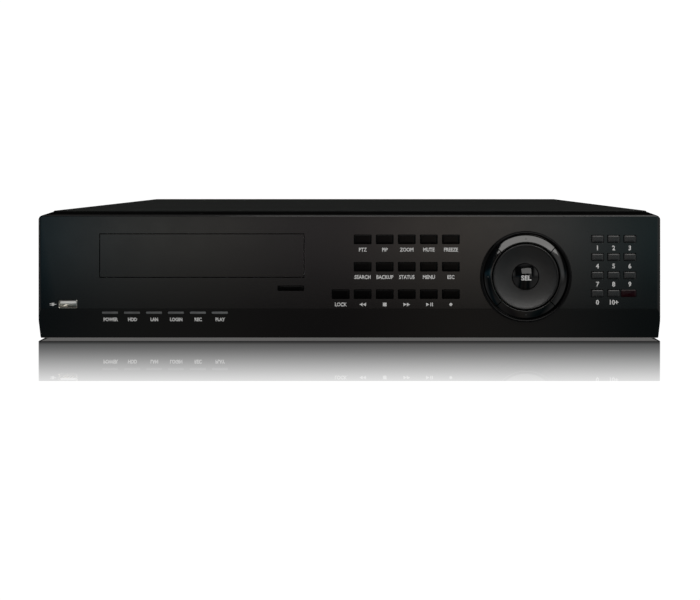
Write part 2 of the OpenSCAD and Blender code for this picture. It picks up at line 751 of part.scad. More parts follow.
module fan_impeller() {
    y0 = rear_y - sheet - fan_t;
    blades = 7;
    color([0.05, 0.05, 0.05])
    translate([fan_x, y0, fan_z]) {
        translate([0, 4, 0]) rod_y(13, 19, 64);
        for (i = [0:blades - 1])
            rotate([0, i * 360 / blades, 0]) translate([12.4, 13, 0]) rotate([42, 0, 0])
                translate([0, -10, -0.7]) cube([15, 20, 1.4]);
    }
}

// Combined mains inlet: flange, body, hollow for the connector with three pins, and the rocker's aperture
module mains_inlet() {
    socket_z = inlet_z - 9.5;
    color([0.03, 0.03, 0.03])
    difference() {
        union() {
            translate([inlet_x, rear_y, inlet_z]) block_y(31, 64, 2, 2);
            translate([inlet_x, rear_y - 21, inlet_z]) block_y(26.8, 46.8, 21, 1);
        }
        translate([inlet_x, rear_y - 15, socket_z]) prism_y([
            [-12.2, -8.4], [12.2, -8.4], [12.2, 3.4], [7.6, 8.4], [-7.6, 8.4], [-12.2, 3.4]
        ], 20);
        translate([inlet_x, rear_y - 14, rocker_z]) block_y(20, 12.6, 20, 0.5);
        translate([inlet_x, rear_y - 3, rocker_z - 7.4]) cylinder(r = pivot_r + 0.15, h = 14.8, $fn = 48);
        for (s = inlet_screws) screw_hole([s[0], rear_y, s[1]], 0, 1.7);
    }
    color([0.75, 0.62, 0.35])
    for (pin = [[-7, -1.5], [7, -1.5], [0, 2.5]])
        translate([inlet_x + pin[0], rear_y - 15, socket_z + pin[1]]) block_y(2, 4, 12, 0.3);
}

// Rocker with its two pressing faces and the pivot pins that turn in the aperture's walls
module power_rocker() {
    color([0.02, 0.02, 0.02])
    translate([inlet_x, rear_y - 3, rocker_z]) rotate([0, 0, rocker_tilt])
        union() {
            translate([0, 0, -5.8]) linear_extrude(11.6)
                polygon([[-9, 5.6], [-9.5, 1], [-8, -5], [8, -5], [9.5, 1], [9, 5.6], [0, 3.6]]);
            translate([0, 0, -7.1]) cylinder(r = pivot_r, h = 14.2, $fn = 48);
        }
}

// ---- Drawing ----

front_panel();
chassis();
top_cover();
feet();
screws();
for (k = function_keys) function_key(k);
for (k = number_keys) number_key(k);
for (k = nav_keys) nav_key(k);
dial_rim();
jog_wheel();
select_button();
eject_button();
light_guide();
ir_window();
usb_port();
key_board();
disc_tray();
tray_face();
disc_drive();
drive_bracket();
hard_disks();
power_supply();
mains_inlet();
power_rocker();
main_board();
heat_sink();
video_sockets();
rear_ports();
audio_jacks();
terminal_block();
fan_housing();
fan_impeller();
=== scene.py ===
"""Surfaces, finishes, lights and camera for a two-unit video recorder.

The file is laid out as an add-on and run as a script. Sizes here are in millimetres unless a
property says otherwise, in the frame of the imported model: X to the right as seen from the front,
-Y out of the front, Z up.
"""

import math

import bmesh
import bpy
import numpy as np
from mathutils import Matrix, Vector


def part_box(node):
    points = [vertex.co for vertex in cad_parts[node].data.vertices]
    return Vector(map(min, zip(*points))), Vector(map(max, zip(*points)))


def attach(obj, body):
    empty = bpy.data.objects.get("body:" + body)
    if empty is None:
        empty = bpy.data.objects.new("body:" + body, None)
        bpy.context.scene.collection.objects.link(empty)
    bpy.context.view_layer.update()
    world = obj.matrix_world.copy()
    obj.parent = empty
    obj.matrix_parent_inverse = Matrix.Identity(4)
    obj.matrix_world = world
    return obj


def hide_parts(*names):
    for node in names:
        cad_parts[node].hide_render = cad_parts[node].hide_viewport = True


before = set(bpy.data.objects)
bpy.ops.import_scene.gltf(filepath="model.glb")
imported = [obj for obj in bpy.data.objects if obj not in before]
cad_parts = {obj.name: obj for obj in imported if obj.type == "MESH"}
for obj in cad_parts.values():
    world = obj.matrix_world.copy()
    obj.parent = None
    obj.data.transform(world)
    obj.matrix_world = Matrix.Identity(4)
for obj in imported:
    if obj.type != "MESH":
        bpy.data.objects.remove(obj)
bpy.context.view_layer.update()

bl_info = {
    "name": "Two-Unit Video Recorder",
    "version": (1, 0, 0),
    "blender": (4, 5, 0),
    "location": "View3D > Sidebar > Recorder",
    "description": "Builds the visible pieces of a video recorder around its packed model",
    "category": "Object",
}

MM = 0.001


def box_mm(node):
    """Lowest and highest corner of a node, in millimetres."""
    low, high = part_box(node)
    return np.array(low) / MM, np.array(high) / MM


def middle_mm(node):
    """Middle of a node's box, in millimetres."""
    low, high = box_mm(node)
    return (low + high) / 2


FACE_Y = float(box_mm("front_panel")[0][1])           # flat of the front face
REAR_Y = float(box_mm("chassis")[1][1])               # outside of the rear wall
FUNCTION_KEYS = [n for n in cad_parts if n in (
    "key_ptz", "key_pip", "key_zoom", "key_mute", "key_freeze", "key_search", "key_backup", "key_status",
    "key_menu", "key_esc", "key_lock", "key_rewind", "key_stop", "key_forward", "key_play", "key_record")]
NUMBER_KEYS = ["key_1", "key_2", "key_3", "key_4", "key_5", "key_6", "key_7", "key_8", "key_9", "key_0", "key_10plus"]
ARROW_KEYS = [("nav_right", 0), ("nav_up", 90), ("nav_left", 180), ("nav_down", 270)]   # turned by degrees
SELECT_RADIUS, SELECT_RISE, SELECT_PROUD = 9.0, 3.0, 1.7   # the select button's dome, and how proud its middle is
SELECT_BALL = (SELECT_RADIUS ** 2 + SELECT_RISE ** 2) / (2 * SELECT_RISE)
ARROW_FACE = -1.2                                          # inner edge of the arrow keys' faces
VIDEO_COLUMNS, VIDEO_ROWS = [-192 + 20 * i for i in range(8)] + [-30, -10], (46.0, 66.0)
AUDIO_COLUMNS, AUDIO_ROWS = (8.0, 24.0), (16.4, 31.4)
MONITOR_X, DIGITAL_X, NETWORK_X, PORT_FOOT = -182.0, -150.0, -124.0, 10.6
TERMINAL_PITCH, TERMINALS = 3.8, 16


# ---- Shapes ----


class Shape:
    """Points and faces gathered from several closed surfaces, ready to become one piece."""

    def __init__(self):
        self.points, self.faces, self.finishes, self.count = [], [], [], 0

    def closed(self, points, faces, finish=0):
        """Adds one closed surface. Its faces are turned round when the volume that they enclose,
        the sum of a fan of tetrahedra from the origin over every face, comes out negative."""
        volume = 0.0
        for size in {len(f) for f in faces}:
            group = points[np.array([f for f in faces if len(f) == size])]
            for k in range(1, size - 1):
                volume += np.einsum("ij,ij->i", group[:, 0], np.cross(group[:, k], group[:, k + 1])).sum()
        if volume < 0:
            faces = [tuple(reversed(f)) for f in faces]
        self.points.append(points)
        self.faces += [tuple(int(v) + self.count for v in f) for f in faces]
        self.finishes += [finish] * len(faces)
        self.count += len(points)

    def rings(self, grid, finish=0):
        """Adds a skin over rings of points, grid[ring, around]: each cell between two rings is a quad,
        the last point of a ring joins its first, and flat faces close the two end rings."""
        rows, around = grid.shape[:2]
        index = np.arange(rows * around).reshape(rows, around)
        side = np.roll(index, -1, axis=1)
        quads = np.stack([index[:-1], index[1:], side[1:], side[:-1]], axis=-1).reshape(-1, 4)
        ends = [tuple(index[0]), tuple(index[-1][::-1])]
        self.closed(grid.reshape(-1, 3), [tuple(q) for q in quads] + ends, finish)

    def loop(self, grid, finish=0):
        """Adds a skin like a bent ring, grid[step, around], that closes on itself in both directions."""
        rows, around = grid.shape[:2]
        index = np.arange(rows * around).reshape(rows, around)
        down, side = np.roll(index, -1, axis=0), np.roll(index, -1, axis=1)
        quads = np.stack([index, down, np.roll(down, -1, axis=1), side], axis=-1).reshape(-1, 4)
        self.closed(grid.reshape(-1, 3), [tuple(q) for q in quads], finish)

    def turned(self, profile, place, sides=48, finish=0, ring=False, start=0.0):
        """Adds a shape turned about the line along Y through place: a point of the profile [radius, y]
        goes to (x + radius cos a, y, z + radius sin a). A ring's profile is a closed outline."""
        profile = np.asarray(profile, float)
        a = start + np.linspace(0, 2 * np.pi, sides, endpoint=False)
        r, y = profile[:, :1], profile[:, 1:]
        grid = np.stack([place[0] + r * np.cos(a), place[1] + y + 0 * a, place[2] + r * np.sin(a)], axis=-1)
        (self.loop if ring else self.rings)(grid, finish)

    def lofted(self, table, place, steps=5, finish=0, ring=False, turn=0.0):
        """Adds a skin over rounded rectangles that face Y, one for each row [width, height, corner, y]
        of the table, centred on place and turned by an angle about Y."""
        w, h, c, y = np.asarray(table, float).T[:, :, None]
        quarter = np.linspace(0, np.pi / 2, steps)
        a = np.concatenate([quarter + k * np.pi / 2 for k in range(4)])
        sx = np.repeat([1, -1, -1, 1], steps)
        sz = np.repeat([1, 1, -1, -1], steps)
        u = sx * (w / 2 - c) + c * np.cos(a)
        v = sz * (h / 2 - c) + c * np.sin(a)
        cos, sin = math.cos(turn), math.sin(turn)
        grid = np.stack([place[0] + u * cos - v * sin, place[1] + y + 0 * u, place[2] + u * sin + v * cos], axis=-1)
        (self.loop if ring else self.rings)(grid, finish)

    def block(self, low, high, edge=0.15, finish=0):
        """Adds a box between two corners, with its edges rounded by a small bevel."""
        low, high = np.asarray(low, float), np.asarray(high, float)
        w, d, h = high - low
        e = min(edge, w / 3, d / 3, h / 3)
        table = [[w - 2 * e, h - 2 * e, e, 0], [w, h, e, e], [w, h, e, d - e], [w - 2 * e, h - 2 * e, e, d]]
        self.lofted(table, ((low[0] + high[0]) / 2, low[1], (low[2] + high[2]) / 2), 3, finish)

    def plate(self, outline, place, depth, finish=0):
        """Adds a flat plate of an outline in X and Z, from place[1] back by depth."""
        outline = np.asarray(outline, float)
        x, z = place[0] + outline[:, 0], place[2] + outline[:, 1]
        grid = np.stack([np.stack([x, 0 * x + place[1] + d, z], axis=-1) for d in (0, depth)])
        self.rings(grid, finish)

    def bend(self, change):
        """Moves every point gathered so far by a function of the whole array of points."""
        self.points = [change(p) for p in self.points]
        return self

    def piece(self, name, body, slot, finishes, replaces=(), smooth=35):
        """Makes the gathered surfaces one object that rides on a body."""
        mesh = bpy.data.meshes.new(name)
        mesh.from_pydata((np.concatenate(self.points) * MM).tolist(), [], self.faces)
        for finish in finishes:
            mesh.materials.append(finish)
        mesh.polygons.foreach_set("material_index", self.finishes)
        return dress(mesh, name, body, replaces, smooth)


def dress(mesh, name, body, replaces=(), smooth=35):
    """Puts a finished mesh into the scene, shades it smooth up to an angle, and fits it to the frame."""
    mesh.update()
    mesh.shade_smooth()
    mesh.set_sharp_from_angle(angle=math.radians(smooth))
    piece = bpy.data.objects.new(name, mesh)
    bpy.context.scene.collection.objects.link(piece)
    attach(piece, body)
    if replaces:
        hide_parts(*replaces)
    return piece


def softened(node, body, finish, width=0.3, name=None, segments=2):
    """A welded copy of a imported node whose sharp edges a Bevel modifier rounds. Its flats are joined,
    then cut into triangles again, so that a wall full of holes stays whole, and normals weighted by area
    keep them flat up to their edges."""
    name = name or node + "_soft"
    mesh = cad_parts[node].data.copy()
    mesh.name = name
    work = bmesh.new()
    work.from_mesh(mesh)
    bmesh.ops.remove_doubles(work, verts=work.verts, dist=2e-6)
    bmesh.ops.dissolve_limit(work, angle_limit=math.radians(0.5), verts=work.verts, edges=work.edges)
    bmesh.ops.triangulate(work, faces=[f for f in work.faces if len(f.verts) > 4])
    work.to_mesh(mesh)
    work.free()
    mesh.materials.clear()
    mesh.materials.append(finish)
    piece = dress(mesh, name, body, (node,), 32)
    bevel = piece.modifiers.new("edges", "BEVEL")
    bevel.width = width * MM
    bevel.segments = segments
    bevel.limit_method = "ANGLE"
    bevel.angle_limit = math.radians(38)
    bevel.use_clamp_overlap = True
    bevel.miter_outer = "MITER_ARC"
    even = piece.modifiers.new("flats", "WEIGHTED_NORMAL")
    even.mode, even.weight, even.keep_sharp = "FACE_AREA", 100, True
    return piece


def arc(centre, radius, start, end, steps=6):
    """Points on an arc from one angle to another, in degrees, as [u, v] rows."""
    a = np.radians(np.linspace(start, end, steps))
    return np.stack([centre[0] + radius * np.cos(a), centre[1] + radius * np.sin(a)], axis=-1)


def key_table(width, height, corner, proud, crown, edge, depth=2.6, flange=0.7, thick=1.2, tip=7.4):
    """Rounded rectangles of a pressed key from the middle of its cap to the tip of its stem. The cap
    rises towards its middle by the crown times one minus the fourth power of the way out, and its rim
    follows a quarter circle of the edge radius down to its sides."""
    s = np.linspace(0.08, 1, 7)
    top_w, top_h = width - 2 * edge, height - 2 * edge
    cap = np.stack([s * top_w, s * top_h, s * max(corner - edge, 0.12), -proud - crown * (1 - s ** 4)], axis=-1)
    t = np.radians(np.linspace(15, 90, 5))
    rim = np.stack([width - 2 * edge * (1 - np.sin(t)), height - 2 * edge * (1 - np.sin(t)),
                    0 * t + corner, -proud + edge * (1 - np.cos(t))], axis=-1)
    foot = [[width, height, corner, depth], [width + 2 * flange, height + 2 * flange, corner, depth],
            [width + 2 * flange, height + 2 * flange, corner, depth + thick],
            [3, min(3, height), 0.4, depth + thick], [3, min(3, height), 0.4, tip]]
    return np.vstack([cap, rim, foot])


def dome_depth(radius):
    """How far behind the flat of the face the select button's dome lies at a distance from its middle:
    a cap of a sphere, so the ball's radius less the root of its square less the distance's square."""
    return SELECT_BALL - np.sqrt(SELECT_BALL ** 2 - radius ** 2) - SELECT_PROUD


def arrow_fall(s, fall):
    """How much lower an arrow key's face is at a share of the way out: mostly even, with a cubic end."""
    return fall * (0.75 * s + 0.25 * s ** 3)


def circle(steps):
    """Angles of evenly spaced points on a circle."""
    return np.linspace(0, 2 * np.pi, steps, endpoint=False)


def face_depth(z):
    """How far behind the flat of the face the panel's surface lies at a height: zero down to the
    crease, then growing evenly to the lip at the foot."""
    return np.interp(z, [2.48, 21.18, 22.4], [5.87, 0.075, 0.0])


# ---- Finishes ----


class Signal:
    """A number on a shader socket. Arithmetic on it adds Math nodes to its finish."""

    def __init__(self, finish, socket):
        self.finish, self.socket = finish, socket

    def __add__(self, other):
        return self.finish.math("ADD", self, other)

    def __sub__(self, other):
        return self.finish.math("SUBTRACT", self, other)

    def __rsub__(self, other):
        return self.finish.math("SUBTRACT", other, self)

    def __mul__(self, other):
        return self.finish.math("MULTIPLY", self, other)

    def __truediv__(self, other):
        return self.finish.math("DIVIDE", self, other)

    def __pow__(self, other):
        return self.finish.math("POWER", self, other)

    def __neg__(self):
        return self.finish.math("MULTIPLY", self, -1.0)

    __radd__, __rmul__ = __add__, __mul__

    def least(self, other):
        return self.finish.math("MINIMUM", self, other)

    def most(self, other):
        return self.finish.math("MAXIMUM", self, other)

    def size(self):
        return self.finish.math("ABSOLUTE", self)

    def wave(self):
        return self.finish.math("SINE", self)

    def rise(self, low, high):
        """Zero below low, one above high, and a straight ramp between them."""
        return ((self - low) * (1.0 / (high - low))).most(0.0).least(1.0)


class Finish:
    """A node tree under construction, with a Principled shader in a material or a Background in a world."""

    def __init__(self, owner, shader="ShaderNodeBsdfPrincipled", output="ShaderNodeOutputMaterial"):
        owner.use_nodes = True
        self.owner, self.tree = owner, owner.node_tree
        self.tree.nodes.clear()
        self.shader = self.tree.nodes.new(shader)
        self.output = self.tree.nodes.new(output)
        self.tree.links.new(self.shader.outputs[0], self.output.inputs["Surface"])

    def add(self, kind, settings=None, sockets=None):
        """A node of a type with its settings, then the values or links of its sockets."""
        node = self.tree.nodes.new("ShaderNode" + kind)
        for key, value in (settings or {}).items():
            if key == "stops":
                ramp = node.color_ramp
                for place, (at, colour) in enumerate(value):
                    stop = ramp.elements[place] if place < 2 else ramp.elements.new(at)
                    stop.position, stop.color = at, colour
            else:
                setattr(node, key, value)
        for key, value in (sockets or {}).items():
            self.put(node.inputs[key], value)
        return node

    def put(self, socket, value):
        if isinstance(value, Signal):
            self.tree.links.new(value.socket, socket)
        elif isinstance(value, bpy.types.NodeSocket):
            self.tree.links.new(value, socket)
        else:
            socket.default_value = value

    def set(self, name, value):
        self.put(self.shader.inputs[name], value)

    def math(self, operation, *values):
        node = self.add("Math", {"operation": operation}, dict(enumerate(values)))
        return Signal(self, node.outputs[0])

    def place(self):
        """Object coordinates, in metres."""
        return self.add("TexCoord").outputs["Object"]

    def axes(self, vector=None):
        """The X, Y and Z of a vector, or of the place on the object, as three signals."""
        node = self.add("SeparateXYZ", None, {0: vector or self.place()})
        return [Signal(self, s) for s in node.outputs]

    def noise(self, scale, detail=2.0, rough=0.5, vector=None, stretch=None):
        vector = vector or self.place()
        if stretch:
            vector = self.add("Mapping", None, {"Vector": vector, "Scale": stretch}).outputs[0]
        node = self.add("TexNoise", None, {"Vector": vector, "Scale": scale, "Detail": detail, "Roughness": rough})
        return Signal(self, node.outputs["Fac"])

    def cells(self, scale, feature="F1", output="Distance", randomness=1.0):
        node = self.add("TexVoronoi", {"feature": feature},
                        {"Vector": self.place(), "Scale": scale, "Randomness": randomness})
        return Signal(self, node.outputs[output])

    def tint(self, amount, first, second):
        """A colour between two others."""
        node = self.add("Mix", {"data_type": "RGBA"}, {0: amount, 6: first, 7: second})
        return node.outputs[2]

    def relief(self, height, distance, strength=1.0):
        """Bump from a height signal, with its full height in metres."""
        node = self.add("Bump", None, {"Strength": strength, "Distance": distance, "Height": height})
        self.set("Normal", node.outputs[0])


def finish_named(name, roughness=0.5, metallic=0.0, specular=0.5):
    """A new material with the settings that are the same all over it."""
    finish = Finish(bpy.data.materials.new(name))
    finish.set("Roughness", roughness)
    finish.set("Metallic", metallic)
    finish.set("Specular IOR Level", specular)
    finish.set("IOR", 1.5)
    return finish


def shade(colour, amount):
    """A colour made lighter or darker, with full alpha."""
    return tuple(min(1.0, c * amount) for c in colour[:3]) + (1.0,)


def moulded(name, colour, roughness=0.145, specular=0.5, grain=0.0000025, pitch=0.45):
    """Spark-eroded plastic: a fine even grain, faint flow clouds in the colour and handling haze in the gloss."""
    f = finish_named(name, specular=specular)
    fine = f.noise(1000 / pitch, 3.0, 0.6)
    clouds = f.noise(14.0, 2.0, 0.5)
    haze = f.noise(60.0, 3.0, 0.6)
    f.set("Base Color", f.tint(clouds.rise(0.3, 0.7), shade(colour, 0.85), shade(colour, 1.15)))
    f.set("Roughness", roughness + (haze - 0.5) * 0.05 + (fine - 0.5) * 0.05)
    f.relief(fine, grain, 0.4)
    return f.owner


def lacquered(name, colour, roughness=0.07, specular=0.5):
    """Glossy plastic: near mirror with soft waves in its surface, hairline wipe marks and a little dust."""
    f = finish_named(name, specular=specular)
    waves = f.noise(120.0, 1.0, 0.4)
    wipes = f.noise(900.0, 2.0, 0.5, stretch=(1.0, 1.0, 0.12))
    dust = f.cells(1400.0).rise(0.10, 0.05)
    f.set("Base Color", f.tint(dust * 0.25, colour, (0.03, 0.03, 0.032, 1)))
    f.set("Roughness", roughness + wipes.rise(0.62, 0.72) * 0.08 + dust * 0.25)
    f.relief(waves, 0.00002, 0.35)
    return f.owner


def brushed_dish(name, colour, centre, roughness=0.3):
    """Satin plastic with very fine turned rings about the wheel's middle, fading out at its rim."""
    f = finish_named(name, specular=0.5)
    x, _, z = f.axes()
    radius = ((x - centre[0] * MM) ** 2.0 + (z - centre[2] * MM) ** 2.0) ** 0.5
    rings = (radius * 26000.0).wave()
    fine = f.noise(2600.0, 2.0, 0.5)
    clouds = f.noise(40.0, 2.0, 0.5)
    f.set("Base Color", f.tint(clouds.rise(0.3, 0.7), shade(colour, 0.85), shade(colour, 1.15)))
    f.set("Roughness", roughness + (fine - 0.5) * 0.08 + (clouds - 0.5) * 0.06)
    f.relief(rings * 0.3 + fine, 0.00001, 0.5)
    return f.owner


def powder_coat(name, colour, roughness=0.55, specular=0.3):
    """Baked powder paint: rounded orange-peel grains of about half a millimetre and tiny lighter flecks."""
    f = finish_named(name, specular=specular)
    peel = f.noise(1600.0, 2.0, 0.55)
    flecks = f.cells(3200.0).rise(0.16, 0.10)
    clouds = f.noise(9.0, 2.0, 0.5)
    base = f.tint(clouds.rise(0.3, 0.7), shade(colour, 0.85), shade(colour, 1.15))
    f.set("Base Color", f.tint(flecks * 0.35, base, shade(colour, 3.0)))
    f.set("Roughness", roughness + (peel - 0.5) * 0.2)
    f.relief(peel, 0.00008, 0.8)
    return f.owner


def plated(name, colour, roughness=0.22):
    """Nickel or zinc plate: cloudy reflections, fine drawing marks and dulled pits."""
    f = finish_named(name, metallic=1.0)
    clouds = f.noise(160.0, 3.0, 0.6)
    marks = f.noise(1500.0, 2.0, 0.5, stretch=(1.0, 0.1, 1.0))
    f.set("Base Color", f.tint(clouds, shade(colour, 0.82), shade(colour, 1.08)))
    f.set("Roughness", roughness + (clouds - 0.5) * 0.2 + (marks - 0.5) * 0.12)
    f.relief(marks, 0.00001, 0.5)
    return f.owner


def spangled(name, colour, roughness=0.38):
    """Galvanised sheet: flat crystals of a few millimetres, each with its own brightness."""
    f = finish_named(name, metallic=0.9)
    crystal = f.cells(260.0, output="Color")
    grain = f.noise(1200.0, 3.0, 0.6)
    f.set("Base Color", f.tint(crystal, shade(colour, 0.7), shade(colour, 1.1)))
    f.set("Roughness", roughness + (crystal - 0.5) * 0.15 + (grain - 0.5) * 0.1)
    f.relief(grain, 0.00001, 0.4)
    return f.owner


def cast_metal(name, colour, roughness=0.45):
    """Cast or milled aluminium with a sandy skin and faint long tool marks."""
    f = finish_named(name, metallic=0.85)
    sand = f.noise(2200.0, 3.0, 0.6)
    lines = f.noise(500.0, 2.0, 0.5, stretch=(0.05, 1.0, 1.0))
    f.set("Base Color", f.tint(lines, shade(colour, 0.85), shade(colour, 1.1)))
    f.set("Roughness", roughness + (sand - 0.5) * 0.2)
    f.relief(sand + lines, 0.00002, 0.5)
    return f.owner


def board_coat(name, colour):
    """Solder mask over copper: straight tracks on a fine grid show as lighter lines, with plated pads."""
    f = finish_named(name, roughness=0.3, specular=0.5)
    tracks = f.add("TexBrick", {"offset": 0.37, "squash": 1.6}, {
        "Vector": f.place(), "Scale": 160.0, "Mortar Size": 0.09, "Mortar Smooth": 0.2,
        "Brick Width": 1.3, "Row Height": 0.35})
    line = Signal(f, tracks.outputs["Fac"])
    pads = f.cells(420.0, randomness=0.15).rise(0.17, 0.13)
    base = f.tint(line * 0.6, shade(colour, 0.7), shade(colour, 1.9))
    f.set("Base Color", f.tint(pads, base, (0.55, 0.5, 0.36, 1)))
    f.set("Metallic", pads * 0.8)
    f.set("Roughness", 0.3 + pads * 0.1 + f.noise(300.0) * 0.1)
    f.relief(line + pads, 0.00003, 0.6)
    return f.owner


def rubbery(name, colour):
    """Moulded rubber: dull, with a dusty bloom in patches and fine pores."""
    f = finish_named(name, specular=0.3)
    bloom = f.noise(90.0, 3.0, 0.6)
    pores = f.noise(2400.0, 2.0, 0.5)
    f.set("Base Color", f.tint(bloom.rise(0.45, 0.8) * 0.6, colour, (0.06, 0.06, 0.058, 1)))
    f.set("Roughness", 0.7 + (pores - 0.5) * 0.2)
    f.relief(pores, 0.00003, 0.6)
    return f.owner


def milky(name, colour, roughness=0.35):
    """Cloudy light-guide plastic with a frosted front: soft bands, and base colour painted lighter towards the
    right-hand lamps as a painted highlight.
    """
    f = finish_named(name, specular=0.5)
    frost = f.noise(3000.0, 2.0, 0.5)
    bands = f.noise(140.0, 1.0, 0.5, stretch=(1.0, 1.0, 0.2))
    x, _, _ = f.axes()
    # Painted highlight: the colour grows lighter to the right, standing in for the brighter reflection on the
    # right-hand lamps.
    clear = x.rise(-0.14, -0.02)
    f.set("Base Color", f.tint(bands.rise(0.3, 0.7) * 0.25 + clear * 0.75, shade(colour, 0.55), shade(colour, 1.3)))
    f.set("Roughness", roughness + (frost - 0.5) * 0.15)
    f.relief(frost, 0.00001, 0.5)
    return f.owner


def printed(name, colour):
    """Pad-printed ink: nearly white, slightly thin in places, with a dry surface."""
    f = finish_named(name, roughness=0.55, specular=0.3)
    thin = f.noise(1800.0, 2.0, 0.5)
    f.set("Base Color", f.tint(thin.rise(0.35, 0.6), shade(colour, 0.8), shade(colour, 1.0)))
    f.set("Roughness", 0.55 + (thin - 0.5) * 0.2)
    f.relief(thin, 0.00001, 0.4)
    return f.owner


# ---- Properties ----


def size_of(name, description, default, low=0.0, high=1.0):
    """A length property, stored in metres."""
    return bpy.props.FloatProperty(name=name, description=description, default=default, min=low, max=high,
                                   precision=5, subtype="DISTANCE", unit="LENGTH")


def colour_of(name, description, default):
    """A colour property with its alpha."""
    return bpy.props.FloatVectorProperty(name=name, description=description, default=default, size=4,
                                         min=0.0, max=1.0, subtype="COLOR")


class RecorderSizes(bpy.types.PropertyGroup):
    """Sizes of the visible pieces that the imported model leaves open."""

    key_edge: size_of("Key Edge", "Radius of the edge around a function key's cap", 0.0003)
    key_crown: size_of("Key Crown", "How much higher a function key is in its middle", 0.00002)
    digit_edge: size_of("Number Key Edge", "Radius of the edge around a number key's cap", 0.0005)
    digit_crown: size_of("Number Key Crown", "How much higher a number key is in its middle", 0.00006)
    arrow_fall: size_of("Arrow Ring Fall", "How much lower the ring of arrow keys is at its outside", 0.00125)
    dish_depth: size_of("Dish Depth", "How much deeper the jog wheel is beside the select button", 0.0013)
    panel_edge: size_of("Panel Edge", "Width of the rounded edges of the front panel", 0.00015)
    sheet_edge: size_of("Sheet Edge", "Width of the rounded edges of the painted steel", 0.0002)
    legend_height: size_of("Legend Height", "Height of the capitals below the function keys", 0.0025)
    digit_legend_height: size_of("Digit Height", "Height of the digits below the number keys", 0.0031)
    lamp_legend_height: size_of("Lamp Legend Height", "Height of the capitals below the lamps", 0.0023)
    legend_drop: size_of("Legend Drop", "Distance from a function key's middle down to its legend's", 0.0071)
    digit_drop: size_of("Digit Drop", "Distance from a number key's middle down to its digit's", 0.0062)
    lamp_drop: size_of("Lamp Drop", "Distance from a lamp's middle down to its legend's", 0.0048)
    ink: size_of("Ink Thickness", "How far the printed legends stand on the surface", 0.00003)


class RecorderColours(bpy.types.PropertyGroup):
    """Colours of the finishes."""

    moulding: colour_of("Front Panel", "Satin black of the front panel", (0.0022, 0.0022, 0.0023, 1))
    gloss: colour_of("Glossy Keys", "Black of the function keys and the dial", (0.002, 0.002, 0.0022, 1))
    digit: colour_of("Number Keys", "Black of the number keys", (0.0055, 0.006, 0.0068, 1))
    dish: colour_of("Jog Wheel", "Satin black of the jog wheel", (0.006, 0.006, 0.0063, 1))
    paint: colour_of("Case Paint", "Powder paint of the case", (0.0034, 0.005, 0.0044, 1))
    ink: colour_of("Legends", "Printed legends", (0.62, 0.62, 0.62, 1))
    lamp: colour_of("Lamps", "Light guides when unlit", (0.16, 0.165, 0.17, 1))
    window: colour_of("Infrared Window", "Dark red window", (0.009, 0.0006, 0.0018, 1))
    nickel: colour_of("Nickel", "Plated sockets", (0.62, 0.6, 0.56, 1))


class RecorderStage(bpy.types.PropertyGroup):
    """Camera, floor and lights."""

    distance: size_of("Camera Distance", "From the front face to the camera", 0.747, high=10.0)
    height: size_of("Camera Height", "Of the camera over the floor", 0.1142, high=10.0)
    frame_width: size_of("View Width", "Width of the view at the front face", 0.4827, high=10.0)
    sideways: bpy.props.FloatProperty(name="Camera Offset", description="Of the camera to the right of the middle",
                                      default=0.0115, subtype="DISTANCE", unit="LENGTH")
    shift: bpy.props.FloatVectorProperty(name="Shift", description="Sideways and upward shift of the camera's view",
                                         default=(-0.0229, -0.178), size=2)
    key_power: bpy.props.FloatProperty(name="Key Light", description="Power of the soft light above the camera",
                                       default=9.2, subtype="POWER", unit="POWER")
    mirror: bpy.props.FloatProperty(name="Floor Reflection", description="Strength of the reflection at the foot",
                                    default=0.93, min=0.0, max=1.0, subtype="FACTOR")
    mirror_reach: size_of("Reflection Reach", "How far in front of the panel the floor still reflects", 0.1465)


# ---- Operators ----


